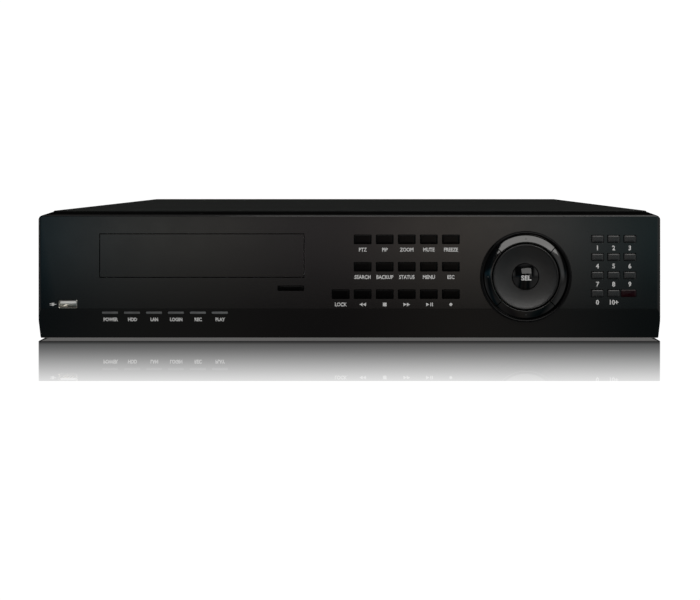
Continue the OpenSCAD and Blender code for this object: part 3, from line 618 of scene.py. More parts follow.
class RecorderOperator:
    """What every operator of this file shares."""

    bl_options = {"REGISTER", "UNDO"}

    @property
    def sizes(self):
        return bpy.context.scene.recorder_sizes

    @property
    def colours(self):
        return bpy.context.scene.recorder_colours

    @property
    def stage(self):
        return bpy.context.scene.recorder_stage

    def finish(self, name):
        """A finish that is made once and shared."""
        if name not in bpy.data.materials:
            c = self.colours
            makers = {
                "satin_moulding": lambda: moulded(name, tuple(c.moulding)),
                "glossy_black": lambda: lacquered(name, tuple(c.gloss)),
                # Painted shade: the function keys' finish is the glossy black made darker, and it reflects only
                # faintly, so the keys read near black.
                "shaded_glossy_key": lambda: lacquered(name, shade(tuple(c.gloss), 0.35), 0.09, 0.06),
                "glossy_rim": lambda: lacquered(name, tuple(c.gloss), 0.12, 0.09),
                "glossy_dome": lambda: lacquered(name, tuple(c.gloss), 0.07, 0.3),
                "satin_digit_key": lambda: moulded(name, tuple(c.digit), 0.27, 0.6, 0.000006),
                "turned_dish": lambda: brushed_dish(name, tuple(c.dish), middle_mm("jog_wheel")),
                "powder_paint": lambda: powder_coat(name, tuple(c.paint)),
                "legend_ink": lambda: printed(name, tuple(c.ink)),
                "faint_ink": lambda: printed(name, shade(tuple(c.ink), 0.06)),
                "lamp_plastic": lambda: milky(name, tuple(c.lamp)),
                "infrared_window": lambda: lacquered(name, tuple(c.window), 0.12, 0.2),
                "nickel_plate": lambda: plated(name, tuple(c.nickel)),
                "gold_plate": lambda: plated(name, (0.83, 0.6, 0.25, 1), 0.2),
                "screw_steel": lambda: plated(name, (0.42, 0.42, 0.44, 1), 0.3),
                "white_plastic": lambda: moulded(name, (0.75, 0.75, 0.74, 1), 0.35, 0.5),
                "red_plastic": lambda: moulded(name, (0.45, 0.03, 0.03, 1), 0.35, 0.5),
                "blue_plastic": lambda: moulded(name, (0.02, 0.06, 0.3, 1), 0.4, 0.5),
                "black_plastic": lambda: moulded(name, (0.012, 0.012, 0.012, 1), 0.45, 0.4, 0.00003),
                "green_plastic": lambda: moulded(name, (0.02, 0.22, 0.08, 1), 0.35, 0.5),
                "zinc_sheet": lambda: spangled(name, (0.6, 0.61, 0.62, 1)),
                "cast_case": lambda: cast_metal(name, (0.36, 0.37, 0.39, 1)),
                "heat_sink_metal": lambda: cast_metal(name, (0.7, 0.7, 0.72, 1), 0.35),
                "solder_mask": lambda: board_coat(name, (0.01, 0.09, 0.045, 1)),
                "foot_rubber": lambda: rubbery(name, (0.02, 0.02, 0.02, 1)),
            }
            makers[name]()
        return bpy.data.materials[name]


class BuildFrontPanel(RecorderOperator, bpy.types.Operator):
    """The moulded front panel and the face plate of the disc tray"""

    bl_idname = "recorder.front_panel"
    bl_label = "Front Panel"

    def execute(self, context):
        satin = self.finish("satin_moulding")
        edge = self.sizes.panel_edge / MM
        softened("front_panel", "cabinet", satin, edge, "front_moulding")
        softened("tray_face", "tray", satin, edge, "tray_face_plate")
        return {"FINISHED"}


class BuildFunctionKeys(RecorderOperator, bpy.types.Operator):
    """The sixteen glossy function keys and the eject key"""

    bl_idname = "recorder.function_keys"
    bl_label = "Function Keys"

    def execute(self, context):
        # The keys' finish is a darker copy of the glossy black, a painted shade.
        gloss = self.finish("shaded_glossy_key")
        edge, crown = self.sizes.key_edge / MM, self.sizes.key_crown / MM
        for node in FUNCTION_KEYS:
            low, high = box_mm(node)
            x, _, z = middle_mm(node)
            cap = Shape()
            cap.lofted(key_table(high[0] - low[0] - 1.4, high[2] - low[2] - 1.4, 0.6, FACE_Y - low[1], crown, edge),
                       (x, FACE_Y, z))
            cap.piece(node.replace("key_", "cap_"), node, "function_key", [gloss], (node,))
        low, high = box_mm("eject_button")
        x, _, z = middle_mm("eject_button")
        cap = Shape()
        cap.lofted(key_table(17.8, 3.1, 0.7, FACE_Y - low[1], crown, 0.35, flange=0.75, tip=high[1] - FACE_Y),
                   (x, FACE_Y, z))
        cap.piece("cap_eject", "eject_button", "function_key", [gloss], ("eject_button",))
        return {"FINISHED"}


class BuildNumberKeys(RecorderOperator, bpy.types.Operator):
    """The eleven satin number keys"""

    bl_idname = "recorder.number_keys"
    bl_label = "Number Keys"

    def execute(self, context):
        satin = self.finish("satin_digit_key")
        edge, crown = self.sizes.digit_edge / MM, self.sizes.digit_crown / MM
        for node in NUMBER_KEYS:
            low, high = box_mm(node)
            x, _, z = middle_mm(node)
            cap = Shape()
            cap.lofted(key_table(high[0] - low[0] - 1.4, high[2] - low[2] - 1.4, 0.8, FACE_Y - low[1], crown, edge),
                       (x, FACE_Y, z), 6)
            cap.piece(node.replace("key_", "cap_"), node, "number_key", [satin], (node,))
        return {"FINISHED"}


class BuildDial(RecorderOperator, bpy.types.Operator):
    """The dial: glossy rim, four arrow keys, dished jog wheel and domed select button"""

    bl_idname = "recorder.dial"
    bl_label = "Dial"

    def execute(self, context):
        gloss, satin = self.finish("glossy_black"), self.finish("turned_dish")
        x, _, z = middle_mm("dial_rim")
        place = (x, FACE_Y, z)
        self.rim(place, self.finish("glossy_rim"))
        self.arrows(place, gloss)
        self.wheel(place, satin)
        self.select(place, self.finish("glossy_dome"))
        return {"FINISHED"}

    def rim(self, place, gloss):
        """The rim's outline: a half ellipse in front, and a straight collar behind it."""
        low, high = box_mm("dial_rim")
        outer, proud = (high[0] - low[0]) / 2, FACE_Y - low[1]
        inner = outer - 2.3
        t = np.linspace(0, np.pi, 15)
        bead = np.stack([(inner + outer) / 2 - 1.15 * np.cos(t), -0.5 - (proud - 0.5) * np.sin(t)], axis=-1)
        outline = np.vstack([[[inner, 4.0]], bead, [[outer, 0.0], [outer - 1.3, 0.0], [outer - 1.3, 4.0]]])
        rim = Shape()
        rim.turned(outline, place, 160, ring=True)
        rim.piece("dial_rim_bead", "cabinet", "dial_rim", [gloss], ("dial_rim",))

    def arrows(self, place, gloss):
        """Each arrow key is a quarter ring. Its outline's points [radius, y] are carried round by an angle
        whose reach at each radius leaves a gap of even width: 45 degrees less the arcsine of the half gap
        over the radius. The face falls outwards on a soft curve."""
        fall = self.sizes.arrow_fall / MM
        inner, outer = 23.45, 29.0
        s = np.linspace(0, 1, 9)
        radius = inner + 0.3 + (outer - inner - 0.75) * s
        face = np.stack([radius, ARROW_FACE + arrow_fall(s, fall)], axis=-1)
        edge_in = arc((inner + 0.3, face[0, 1] + 0.3), 0.3, 180, 262, 4)
        edge_out = arc((outer - 0.45, face[-1, 1] + 0.45), 0.45, 292, 360, 5)
        outline = np.vstack([edge_in, face[1:-1], edge_out,
                             [[outer, 4.4], [30.9, 4.4], [30.9, 5.6], [inner, 5.6]]])
        for node, turn in ARROW_KEYS:
            r, y = outline[:, 0][None, :], outline[:, 1][None, :]
            u = np.linspace(-1, 1, 25)[:, None]
            a = math.radians(turn) + u * (math.pi / 4 - np.arcsin(0.32 / r))
            grid = np.stack([place[0] + r * np.cos(a), place[1] + y + 0 * a, place[2] + r * np.sin(a)], axis=-1)
            key = Shape()
            key.rings(grid)
            stem = 26.15 * np.array([math.cos(math.radians(turn)), math.sin(math.radians(turn))])
            key.lofted([[3, 3, 0.4, 5.5], [3, 3, 0.4, 7.4]], (place[0] + stem[0], place[1], place[2] + stem[1]), 3)
            key.piece(node.replace("nav_", "arrow_"), node, "arrow_key", [gloss], (node,))

    def wheel(self, place, satin):
        """The wheel's face is a dish whose depth falls to nothing at the rim as the 1.8th power of the radius."""
        depth = self.sizes.dish_depth / MM
        low, high = box_mm("jog_wheel")
        outer = (high[0] - low[0]) / 2
        r = np.linspace(9.5, outer - 1.2, 18)
        s = (r - 9.5) / (outer - 10.7)
        dish = np.stack([r, 1.6 - depth * s ** 1.8], axis=-1)
        lip = np.vstack([arc((outer - 0.75, -0.35), 0.4, 235, 300, 4), arc((outer - 0.35, -0.15), 0.35, 300, 360, 4)])
        back = [[outer, 3.0], [12.5, 4.2], [12.5, 9.0], [10.7, 9.0], [10.7, 3.4], [9.5, 3.4]]
        wheel = Shape()
        wheel.turned(np.vstack([dish, lip, back]), place, 144, ring=True)
        wheel.piece("jog_dish", "jog_wheel", "jog_wheel", [satin], ("jog_wheel",))

    def select(self, place, gloss):
        """The button's face is a cap of a sphere, with a rounded edge."""
        radius = SELECT_RADIUS
        r = np.linspace(0.15, radius - 0.35, 16)
        cap = np.stack([r, dome_depth(r)], axis=-1)
        edge = arc((radius - 0.5, cap[-1, 1] + 0.5), 0.5, 315, 360, 4)
        back = [[radius, 3.9], [radius + 1, 3.9], [radius + 1, 5.1], [2, 5.1], [2, 7.4]]
        button = Shape()
        button.turned(np.vstack([cap, edge, back]), place, 96)
        button.piece("select_dome", "select_button", "select_button", [gloss], ("select_button",))


class BuildLamps(RecorderOperator, bpy.types.Operator):
    """The six lamp bars with their rail, and the infrared window"""

    bl_idname = "recorder.lamps"
    bl_label = "Lamps and Window"

    def execute(self, context):
        low, high = box_mm("light_guide")
        pitch = (high[0] - low[0] - 11.2) / 5
        bars = Shape()
        for k in range(6):
            x, z = low[0] + 5.6 + pitch * k, (low[2] + high[2]) / 2
            bar = Shape()
            bar.lofted([[10.2, 1.0, 0.3, 0.0], [10.8, 1.5, 0.5, 0.08], [11.1, 1.7, 0.5, 0.35], [11.1, 1.7, 0.4, 9.2]],
                       (x, FACE_Y, z), 5)
            front = bar.points[0][:, 1] < FACE_Y + 5
            bar.points[0][front, 1] += face_depth(bar.points[0][front, 2]) - 0.12
            bars.closed(bar.points[0], bar.faces)
        bars.block((low[0], FACE_Y + 9.0, low[2]), (high[0], FACE_Y + 11.5, high[2]), 0.3)
        bars.piece("lamp_bars", "cabinet", "light_guide", [self.finish("lamp_plastic")], ("light_guide",))
        x, _, z = middle_mm("ir_window")
        pane = Shape()
        s = np.linspace(0.1, 1, 6)
        front = np.stack([s * 10.0, s * 4.4, s * 0.9, 0.12 - 0.1 * (1 - s ** 2)], axis=-1)
        pane.lofted(np.vstack([front, [[10.4, 4.8, 1.0, 0.25], [10.6, 5.0, 1.0, 0.55], [10.6, 5.0, 0.9, 2.45],
                                       [12, 6.8, 0.7, 2.45], [12, 6.8, 0.7, 3.45]]]), (x, FACE_Y, z), 6)
        pane.piece("infrared_pane", "cabinet", "ir_window", [self.finish("infrared_window")], ("ir_window",))
        return {"FINISHED"}


class BuildUsbPort(RecorderOperator, bpy.types.Operator):
    """The front port: rolled metal shell, white tongue and four contacts"""

    bl_idname = "recorder.usb_port"
    bl_label = "Front Port"

    def execute(self, context):
        low, high = box_mm("usb_port")
        x, _, z = middle_mm("usb_port")
        w, h = high[0] - low[0], high[2] - low[2]
        front, back = low[1] - FACE_Y, high[1] - FACE_Y
        t = 0.4
        port = Shape()
        port.lofted([[w - 0.4, h - 0.4, 0.7, back], [w, h, 0.9, back - 0.3], [w, h, 0.9, front + 0.3],
                     [w - 0.2, h - 0.2, 0.8, front + 0.05], [w - 0.5, h - 0.5, 0.7, front],
                     [w - 0.8, h - 0.8, 0.6, front + 0.1], [w - 2 * t, h - 2 * t, 0.5, front + 0.5],
                     [w - 2 * t, h - 2 * t, 0.5, front + 10]], (x, FACE_Y, z), 6)
        port.block((x - 5.55, FACE_Y + 1.4, z + 0.35), (x + 5.55, FACE_Y + 10.3, z + 2.2), 0.25, finish=1)
        for k in (-3.5, -1.0, 1.0, 3.5):
            port.block((x + k - 0.5, FACE_Y + 2.0, z + 0.26), (x + k + 0.5, FACE_Y + 10, z + 0.5), 0.08, finish=2)
        for side in (-1, 1):
            port.block((x + side * 3.2 - 1.0, FACE_Y + 3.0, z - 2.6), (x + side * 3.2 + 1.0, FACE_Y + 9.0, z - 2.2),
                       0.1, finish=0)
        port.piece("usb_shell", "cabinet", "usb_port",
                   [self.finish("nickel_plate"), self.finish("white_plastic"), self.finish("gold_plate")],
                   ("usb_port",))
        return {"FINISHED"}


# ---- Legends ----


def lettering(words, height, place, squeeze=1.0, depth=0.03, weight=0.03):
    """Points and faces of capitals standing on the X and Z plane, their middle at place. The weight
    thickens the strokes, as a share of the letters' size."""
    curve = bpy.data.curves.new("lettering", "FONT")
    curve.body, curve.size = words, 1.0
    curve.align_x, curve.align_y = "CENTER", "CENTER"
    curve.extrude, curve.bevel_depth, curve.bevel_resolution = 0.02, weight, 0
    curve.resolution_u = 3
    holder = bpy.data.objects.new("lettering", curve)
    bpy.context.scene.collection.objects.link(holder)
    bpy.context.view_layer.update()
    mesh = bpy.data.meshes.new_from_object(holder.evaluated_get(bpy.context.evaluated_depsgraph_get()))
    co = np.zeros(len(mesh.vertices) * 3)
    mesh.vertices.foreach_get("co", co)
    co = co.reshape(-1, 3)
    scale = height / 0.7
    low, high, top = co[:, 1].min(), co[:, 1].max(), co[:, 2].max()
    points = np.stack([place[0] + co[:, 0] * scale * squeeze, place[1] + (0.5 - co[:, 2] / top / 2) * depth,
                       place[2] + (co[:, 1] - (low + high) / 2) * scale], axis=-1)
    faces = [tuple(reversed(f.vertices)) for f in mesh.polygons]
    bpy.data.objects.remove(holder)
    bpy.data.meshes.remove(mesh)
    bpy.data.curves.remove(curve)
    return points, faces


def symbol(kind, size):
    """Outlines of a transport or arrow sign, each a list of points about its middle."""
    h = size / 2
    left = [[h, -h], [h, h], [-h, 0]]
    if kind == "rewind":
        return [[[p[0] * 0.9 + s * size * 0.85, p[1]] for p in left] for s in (-0.55, 0.55)]
    if kind == "forward":
        return [[[-p[0] * 0.9 + s * size * 0.85, p[1]] for p in left] for s in (-0.55, 0.55)]
    if kind == "stop":
        return [[[-h, -h], [h, -h], [h, h], [-h, h]]]
    if kind == "play":
        bars = [[[x, -h], [x + size * 0.26, -h], [x + size * 0.26, h], [x, h]] for x in (size * 0.4, size * 0.86)]
        return [[[-p[0] * 0.9 - size * 0.3, p[1]] for p in left]] + bars
    if kind == "record":
        a = circle(24)
        return [np.stack([h * np.cos(a), h * np.sin(a)], axis=-1).tolist()]
    turn = {"right": 0, "up": 90, "left": 180, "down": 270}[kind]
    c, s = math.cos(math.radians(turn)), math.sin(math.radians(turn))
    return [[[x * c - y * s, x * s + y * c] for x, y in ([-h * 0.6, -h], [h * 0.8, 0], [-h * 0.6, h])]]


class BuildLegends(RecorderOperator, bpy.types.Operator):
    """The printed words, digits and signs"""

    bl_idname = "recorder.legends"
    bl_label = "Legends"

    words = {
        "key_ptz": "PTZ", "key_pip": "PIP", "key_zoom": "ZOOM", "key_mute": "MUTE", "key_freeze": "FREEZE",
        "key_search": "SEARCH", "key_backup": "BACKUP", "key_status": "STATUS", "key_menu": "MENU",
        "key_esc": "ESC", "key_lock": "LOCK",
    }
    signs = {"key_rewind": "rewind", "key_stop": "stop", "key_forward": "forward", "key_play": "play",
             "key_record": "record"}
    lamps = ["POWER", "HDD", "LAN", "LOGIN", "REC", "PLAY"]

    def execute(self, context):
        ink = self.finish("legend_ink")
        s = self.sizes
        thick = s.ink / MM
        print_on = Shape()
        for node, word in self.words.items():
            x, _, z = middle_mm(node)
            print_on.closed(*lettering(word, s.legend_height / MM, (x, 0, z - s.legend_drop / MM), 0.86, thick))
        for node, kind in self.signs.items():
            x, _, z = middle_mm(node)
            for outline in symbol(kind, 2.1 if kind == "record" else 2.5):
                print_on.plate(outline, (x, 0, z - s.legend_drop / MM), thick)
        for node in NUMBER_KEYS:
            x, _, z = middle_mm(node)
            word = node[4:].replace("plus", "+")
            print_on.closed(*lettering(word, s.digit_legend_height / MM, (x, 0, z - s.digit_drop / MM), 0.95, thick,
                                       0.028))
        low, high = box_mm("light_guide")
        for k, word in enumerate(self.lamps):
            x = low[0] + 5.6 + (high[0] - low[0] - 11.2) / 5 * k
            z = (low[2] + high[2]) / 2 - s.lamp_drop / MM
            print_on.closed(*lettering(word, s.lamp_legend_height / MM, (x, 0, z), 0.86, thick, 0.05))
        x, _, z = middle_mm("usb_port")
        for outline in ([[-0.2, -1.0], [1.6, -1.0], [1.6, 1.0], [-0.2, 1.0]],
                        [[-1.5, 0.35], [-0.2, 0.35], [-0.2, 0.7], [-1.5, 0.7]],
                        [[-1.5, -0.7], [-0.2, -0.7], [-0.2, -0.35], [-1.5, -0.35]],
                        [[1.6, -0.25], [3.0, -0.25], [3.0, 0.25], [1.6, 0.25]]):
            print_on.plate(outline, (x - 10.9, 0, z), thick)
        print_on.bend(lambda p: np.stack([p[:, 0], p[:, 1] - thick + FACE_Y + face_depth(p[:, 2]), p[:, 2]], axis=-1))
        print_on.piece("front_legends", "cabinet", "light_guide", [ink], smooth=20)
        self.dial_marks(ink, thick)
        return {"FINISHED"}

    def dial_marks(self, ink, thick):
        """The word on the select button follows its dome, and each arrow follows its key's falling face."""
        x, _, z = middle_mm("select_button")
        lift = 0.14                             # clears the chords of the dome's facets
        word = Shape()
        word.closed(*lettering("SEL", 3.2, (x, 0, z - 0.7), 1.05, 0.15, 0.032))
        word.bend(lambda p: np.stack([
            p[:, 0], p[:, 1] - lift + FACE_Y + dome_depth(np.hypot(p[:, 0] - x, p[:, 2] - z)), p[:, 2]], axis=-1))
        word.piece("select_word", "select_button", "light_guide", [ink], smooth=20)
        fall = self.sizes.arrow_fall / MM
        x, _, z = middle_mm("dial_rim")
        for node, turn in ARROW_KEYS:
            a = math.radians(turn)
            mark = Shape()
            for outline in symbol(node[4:], 1.3):
                mark.plate(outline, (x + 26.2 * math.cos(a), 0, z + 26.2 * math.sin(a)), 0.05)

            def settle(p):
                s = np.clip((np.hypot(p[:, 0] - x, p[:, 2] - z) - 23.55) / 5.0, 0, 1)
                depth = FACE_Y + ARROW_FACE + arrow_fall(s, fall)
                return np.stack([p[:, 0], p[:, 1] - 0.06 + depth, p[:, 2]], axis=-1)

            mark.bend(settle)
            mark.piece(node.replace("nav_", "mark_"), node, "light_guide", [self.finish("faint_ink")], smooth=20)


# ---- Case and rear ----


class BuildCase(RecorderOperator, bpy.types.Operator):
    """Painted chassis and cover, rubber feet and screws"""

    bl_idname = "recorder.case"
    bl_label = "Case"

    def execute(self, context):
        paint = self.finish("powder_paint")
        edge = self.sizes.sheet_edge / MM
        softened("top_cover", "cabinet", paint, edge, "painted_cover")
        softened("chassis", "cabinet", paint, edge, "painted_chassis")
        softened("screws", "cabinet", self.finish("screw_steel"), 0.08, "case_screws")
        feet = Shape()
        low, high = box_mm("feet")
        inset, top = 9.6, high[2]
        profile = [[2.6, 1.3], [2.8, 0.7], [3.4, 0.6], [3.7, 0.1], [4.2, 0.0], [8.0, 0.0], [8.7, 0.25], [9.1, 0.8],
                   [9.6, top]]
        r, h = np.array(profile).T[:, :, None]
        a = circle(48)
        for x in (low[0] + inset, high[0] - inset):
            for y in (low[1] + inset, high[1] - inset):
                feet.rings(np.stack([x + r * np.cos(a), y + r * np.sin(a), h + 0 * a], axis=-1))
        feet.piece("rubber_feet", "cabinet", "feet", [self.finish("foot_rubber")], ("feet",))
        return {"FINISHED"}


def plain(operator, node, finish):
    """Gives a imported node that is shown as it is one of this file's finishes."""
    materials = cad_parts[node].data.materials
    materials.clear()
    materials.append(operator.finish(finish))


class BuildRearSockets(RecorderOperator, bpy.types.Operator):
    """Video sockets, audio sockets, data ports and terminal block"""

    bl_idname = "recorder.rear_sockets"
    bl_label = "Rear Sockets"

    def execute(self, context):
        nickel, white, gold = (self.finish(n) for n in ("nickel_plate", "white_plastic", "gold_plate"))
        tip = box_mm("video_sockets")[1][1] - REAR_Y
        barrel = [[4.7, -10], [4.7, 0], [4.8, 0], [4.8, 5.6], [4.55, 5.8], [4.55, 6.2], [4.8, 6.4], [4.8, tip - 0.5],
                  [4.55, tip], [4.25, tip], [4.1, tip - 0.3], [4.1, 3.0], [2.3, 3.0], [2.3, -10]]
        insert = [[2.25, -9], [2.25, tip - 2.4], [2.0, tip - 2.1], [0.95, tip - 2.1], [0.95, -9]]
        contact = [[0.9, -12], [0.9, tip - 2.4], [0.75, tip - 2.2], [0.45, tip - 2.2], [0.4, tip - 4],
                   [0.05, tip - 4]]
        nut = [[4.85, 0], [7.0, 0], [7.2, 0.2], [7.2, 1.9], [6.9, 2.2], [4.85, 2.2]]
        r, reach = np.array([[0.95, 4.6], [0.95, 5.6], [0.75, 5.85]]).T[:, :, None]   # a bayonet lug
        a = circle(14)
        sockets = Shape()
        for z in VIDEO_ROWS:
            for x in VIDEO_COLUMNS:
                place = (x, REAR_Y, z)
                sockets.turned(barrel, place, 40, ring=True)
                sockets.turned(nut, place, 6, ring=True)
                sockets.turned(insert, place, 24, finish=1, ring=True)
                sockets.turned(contact, place, 16, finish=2)
                for side in (-1, 1):
                    sockets.rings(np.stack([x + side * reach + 0 * a, REAR_Y + 8 + r * np.cos(a),
                                            z + r * np.sin(a)], axis=-1))
        sockets.piece("coaxial_sockets", "cabinet", "nickel", [nickel, white, gold], ("video_sockets",))
        self.jacks(nickel)
        self.ports(nickel, gold)
        self.terminals()
        return {"FINISHED"}

    def jacks(self, nickel):
        """Red and white cores in plated rings, on one block behind the wall."""
        low, high = box_mm("audio_jacks")
        jacks = Shape()
        jacks.block((low[0], low[1], low[2]), (high[0], REAR_Y - 1.2, high[2]), 0.4, finish=3)
        ring = [[5.0, -2], [5.0, 1.2], [4.8, 1.5], [4.3, 1.6], [4.15, 1.9], [4.15, 9.2], [3.95, 9.5], [3.6, 9.5],
                [3.45, 9.2], [3.45, -2]]
        core = [[3.4, -2], [3.4, 6.6], [3.1, 7.0], [1.9, 7.0], [1.65, 6.7], [1.65, 0.5], [0.1, 0.5]]
        for x, finish in zip(AUDIO_COLUMNS, (1, 2)):
            for z in AUDIO_ROWS:
                jacks.turned(ring, (x, REAR_Y, z), 40, ring=True)
                jacks.turned([[3.4, -2.5], *core], (x, REAR_Y, z), 32, finish=finish)
        jacks.piece("phono_sockets", "cabinet", "nickel",
                    [nickel, self.finish("red_plastic"), self.finish("white_plastic"), self.finish("black_plastic")],
                    ("audio_jacks",))

    def ports(self, nickel, gold):
        """Each shell runs from its back round its front lip to the floor of its hollow."""
        ports = Shape()
        for x, w, h, proud in ((MONITOR_X, 17.0, 8.4, 6.0), (DIGITAL_X, 15.0, 6.0, 1.2),
                               (NETWORK_X, 16.2, 13.6, 1.4)):
            ports.lofted([[w - 0.6, h - 0.6, 0.7, -14], [w, h, 1.0, -13.7], [w, h, 1.0, proud - 0.3],
                          [w - 0.5, h - 0.5, 0.8, proud], [w - 1.4, h - 1.4, 0.6, proud - 0.1],
                          [w - 1.7, h - 1.7, 0.5, proud - 0.5], [w - 1.7, h - 1.7, 0.5, -8.9]],
                         (x, REAR_Y, PORT_FOOT + h / 2), 5)
        x, z = MONITOR_X, PORT_FOOT + 4.2
        ports.block((x - 7.2, REAR_Y - 9, z - 3.0), (x + 7.2, REAR_Y + 4.4, z + 3.0), 0.6, finish=1)
        for row in range(3):
            for k in range(5):
                hole = (x + (k - 2) * 2.3 + (row % 2) * 0.6, REAR_Y + 4.35, z + (row - 1) * 1.9)
                ports.turned([[0.1, 0], [0.55, 0], [0.55, 0.3]], hole, 10, finish=2)
        for side in (-1, 1):
            ports.turned([[0.1, 4.2], [1.5, 4.2], [1.7, 4.0], [2.9, 4.0], [3.1, 3.8], [3.1, 0.0], [0.1, 0.0]],
                         (x + side * 12.5, REAR_Y, z), 6)
        x = DIGITAL_X
        ports.block((x - 5.5, REAR_Y - 9, 13.2), (x + 5.5, REAR_Y - 0.4, 14.5), 0.2, finish=2)
        x = NETWORK_X
        ports.block((x - 6.6, REAR_Y - 9, 11.6), (x + 6.6, REAR_Y - 8.6, 23.0), 0.2, finish=2)
        for k in range(8):
            wire = x - 3.9 + k * 1.02
            ports.block((wire, REAR_Y - 8.7, 18.6), (wire + 0.4, REAR_Y - 1.6, 19.0), 0.05, finish=3)
        ports.piece("data_ports", "cabinet", "nickel",
                    [nickel, self.finish("blue_plastic"), self.finish("black_plastic"), gold], ("rear_ports",))

    def terminals(self):
        """The green block, with a small screw over each of its wire mouths."""
        softened("terminal_block", "cabinet", self.finish("green_plastic"), 0.15, "wire_terminals")
        screws = Shape()
        x, high = middle_mm("terminal_block")[0], box_mm("terminal_block")[1]
        r, h = np.array([[0.1, -1.0], [0.9, -1.0], [1.05, -1.2], [1.05, -2.5], [0.1, -2.5]]).T[:, :, None]
        a = circle(14)
        for k in range(TERMINALS):
            at = x + TERMINAL_PITCH * (k - (TERMINALS - 1) / 2)
            screws.rings(np.stack([at + r * np.cos(a), high[1] - 3 + r * np.sin(a), high[2] + h + 0 * a], axis=-1))
        screws.piece("terminal_screws", "cabinet", "screws", [self.finish("screw_steel")])


class BuildMains(RecorderOperator, bpy.types.Operator):
    """Mains inlet with its pins, and the power rocker"""

    bl_idname = "recorder.mains"
    bl_label = "Mains Inlet"

    def execute(self, context):
        softened("mains_inlet", "cabinet", self.finish("black_plastic"), 0.3, "inlet_housing")
        x, _, z = middle_mm("mains_inlet")
        pins = Shape()
        for dx, dz in ((-7, -1.5), (7, -1.5), (0, 2.5)):
            pins.lofted([[2.04, 4.04, 0.3, -15], [2.04, 4.04, 0.3, -3.9], [1.5, 3.5, 0.3, -2.97]],
                        (x + dx, REAR_Y, z - 9.5 + dz), 3)
        pins.piece("inlet_pins", "cabinet", "nickel", [self.finish("nickel_plate")])
        softened("power_rocker", "power_rocker", self.finish("glossy_black"), 0.5,
                 "rocker_paddle", 3)
        self.rocker_marks()
        return {"FINISHED"}

    def rocker_marks(self):
        """A ring and a bar, 0.04 thick, on the rocker's two faces, whose height grows by 2/9 of the way
        from its middle line. They lean with the rocker by seven degrees about its pivot, which is 3 inside
        the rear wall."""
        cx, _, cz = middle_mm("power_rocker")
        t = circle(28)

        def on_face(u, v, lift):
            return np.stack([u, 3.62 + np.abs(u) * 2 / 9 + lift, v], axis=-1)

        def round_ring(radius, lift):
            return on_face(5 + radius * np.cos(t), radius * np.sin(t), lift)

        marks = Shape()
        marks.loop(np.stack([round_ring(1.7, 0.0), round_ring(1.7, 0.04),
                             round_ring(1.25, 0.04), round_ring(1.25, 0.0)]))
        u, v = np.array([[-5.3, -1.8], [-4.8, -1.8], [-4.8, 1.8], [-5.3, 1.8]]).T
        marks.rings(np.stack([on_face(u, v, 0.0), on_face(u, v, 0.04)]))
        c, s = math.cos(math.radians(7)), math.sin(math.radians(7))
        marks.bend(lambda p: np.stack([cx + p[:, 0] * c - p[:, 1] * s, REAR_Y - 3 + p[:, 0] * s + p[:, 1] * c,
                                       cz + p[:, 2]], axis=-1))
        marks.piece("rocker_marks", "power_rocker", "light_guide", [self.finish("legend_ink")])


class BuildFan(RecorderOperator, bpy.types.Operator):
    """Fan frame, and impeller with seven curved blades"""

    bl_idname = "recorder.fan"
    bl_label = "Fan"

    def execute(self, context):
        black = self.finish("black_plastic")
        softened("fan_housing", "cabinet", black, 0.4, "fan_frame")
        x, _, z = middle_mm("fan_housing")
        y, blades = box_mm("fan_housing")[0][1], 7
        fan = Shape()
        fan.turned([[0.3, 4.0], [12.2, 4.0], [13.0, 4.8], [13.0, 22.2], [12.2, 23.0], [0.3, 23.0]], (x, y, z), 64)
        u = np.linspace(0, 1, 9)[:, None]
        v = np.linspace(0, 1, 7)[None, :]
        radius = 12.6 + 15.2 * u
        depth = y + 6.0 + 14.5 * v + 0 * u
        for k in range(blades):
            # a blade leans from front to back by an angle that shrinks outwards, and bows by a shallow arch
            lean = (0.62 - 0.26 * u) * (v - 0.5) + 0.10 * np.sin(np.pi * v) + k * 2 * math.pi / blades
            front, back = (np.stack([x + radius * np.cos(a), depth, z + radius * np.sin(a)], axis=-1)
                           for a in (lean - 0.018 * (1.2 - 0.5 * u), lean + 0.018 * (1.2 - 0.5 * u)))
            fan.rings(np.concatenate([front, back[:, ::-1]], axis=1))
        fan.piece("fan_blades", "fan_impeller", "fan_plastic", [black], ("fan_impeller",), smooth=50)
        return {"FINISHED"}


class BuildInside(RecorderOperator, bpy.types.Operator):
    """Finishes of the tray, drives, boards and power supply inside the case"""

    bl_idname = "recorder.inside"
    bl_label = "Inside"

    def execute(self, context):
        softened("disc_tray", "tray", self.finish("black_plastic"), 0.3, "tray_moulding")
        for node, finish in (("disc_drive", "zinc_sheet"), ("drive_bracket", "zinc_sheet"),
                             ("power_supply", "zinc_sheet"), ("hard_disks", "cast_case"),
                             ("heat_sink", "heat_sink_metal"), ("key_board", "solder_mask"),
                             ("main_board", "solder_mask")):
            plain(self, node, finish)
        return {"FINISHED"}


# ---- Stage ----


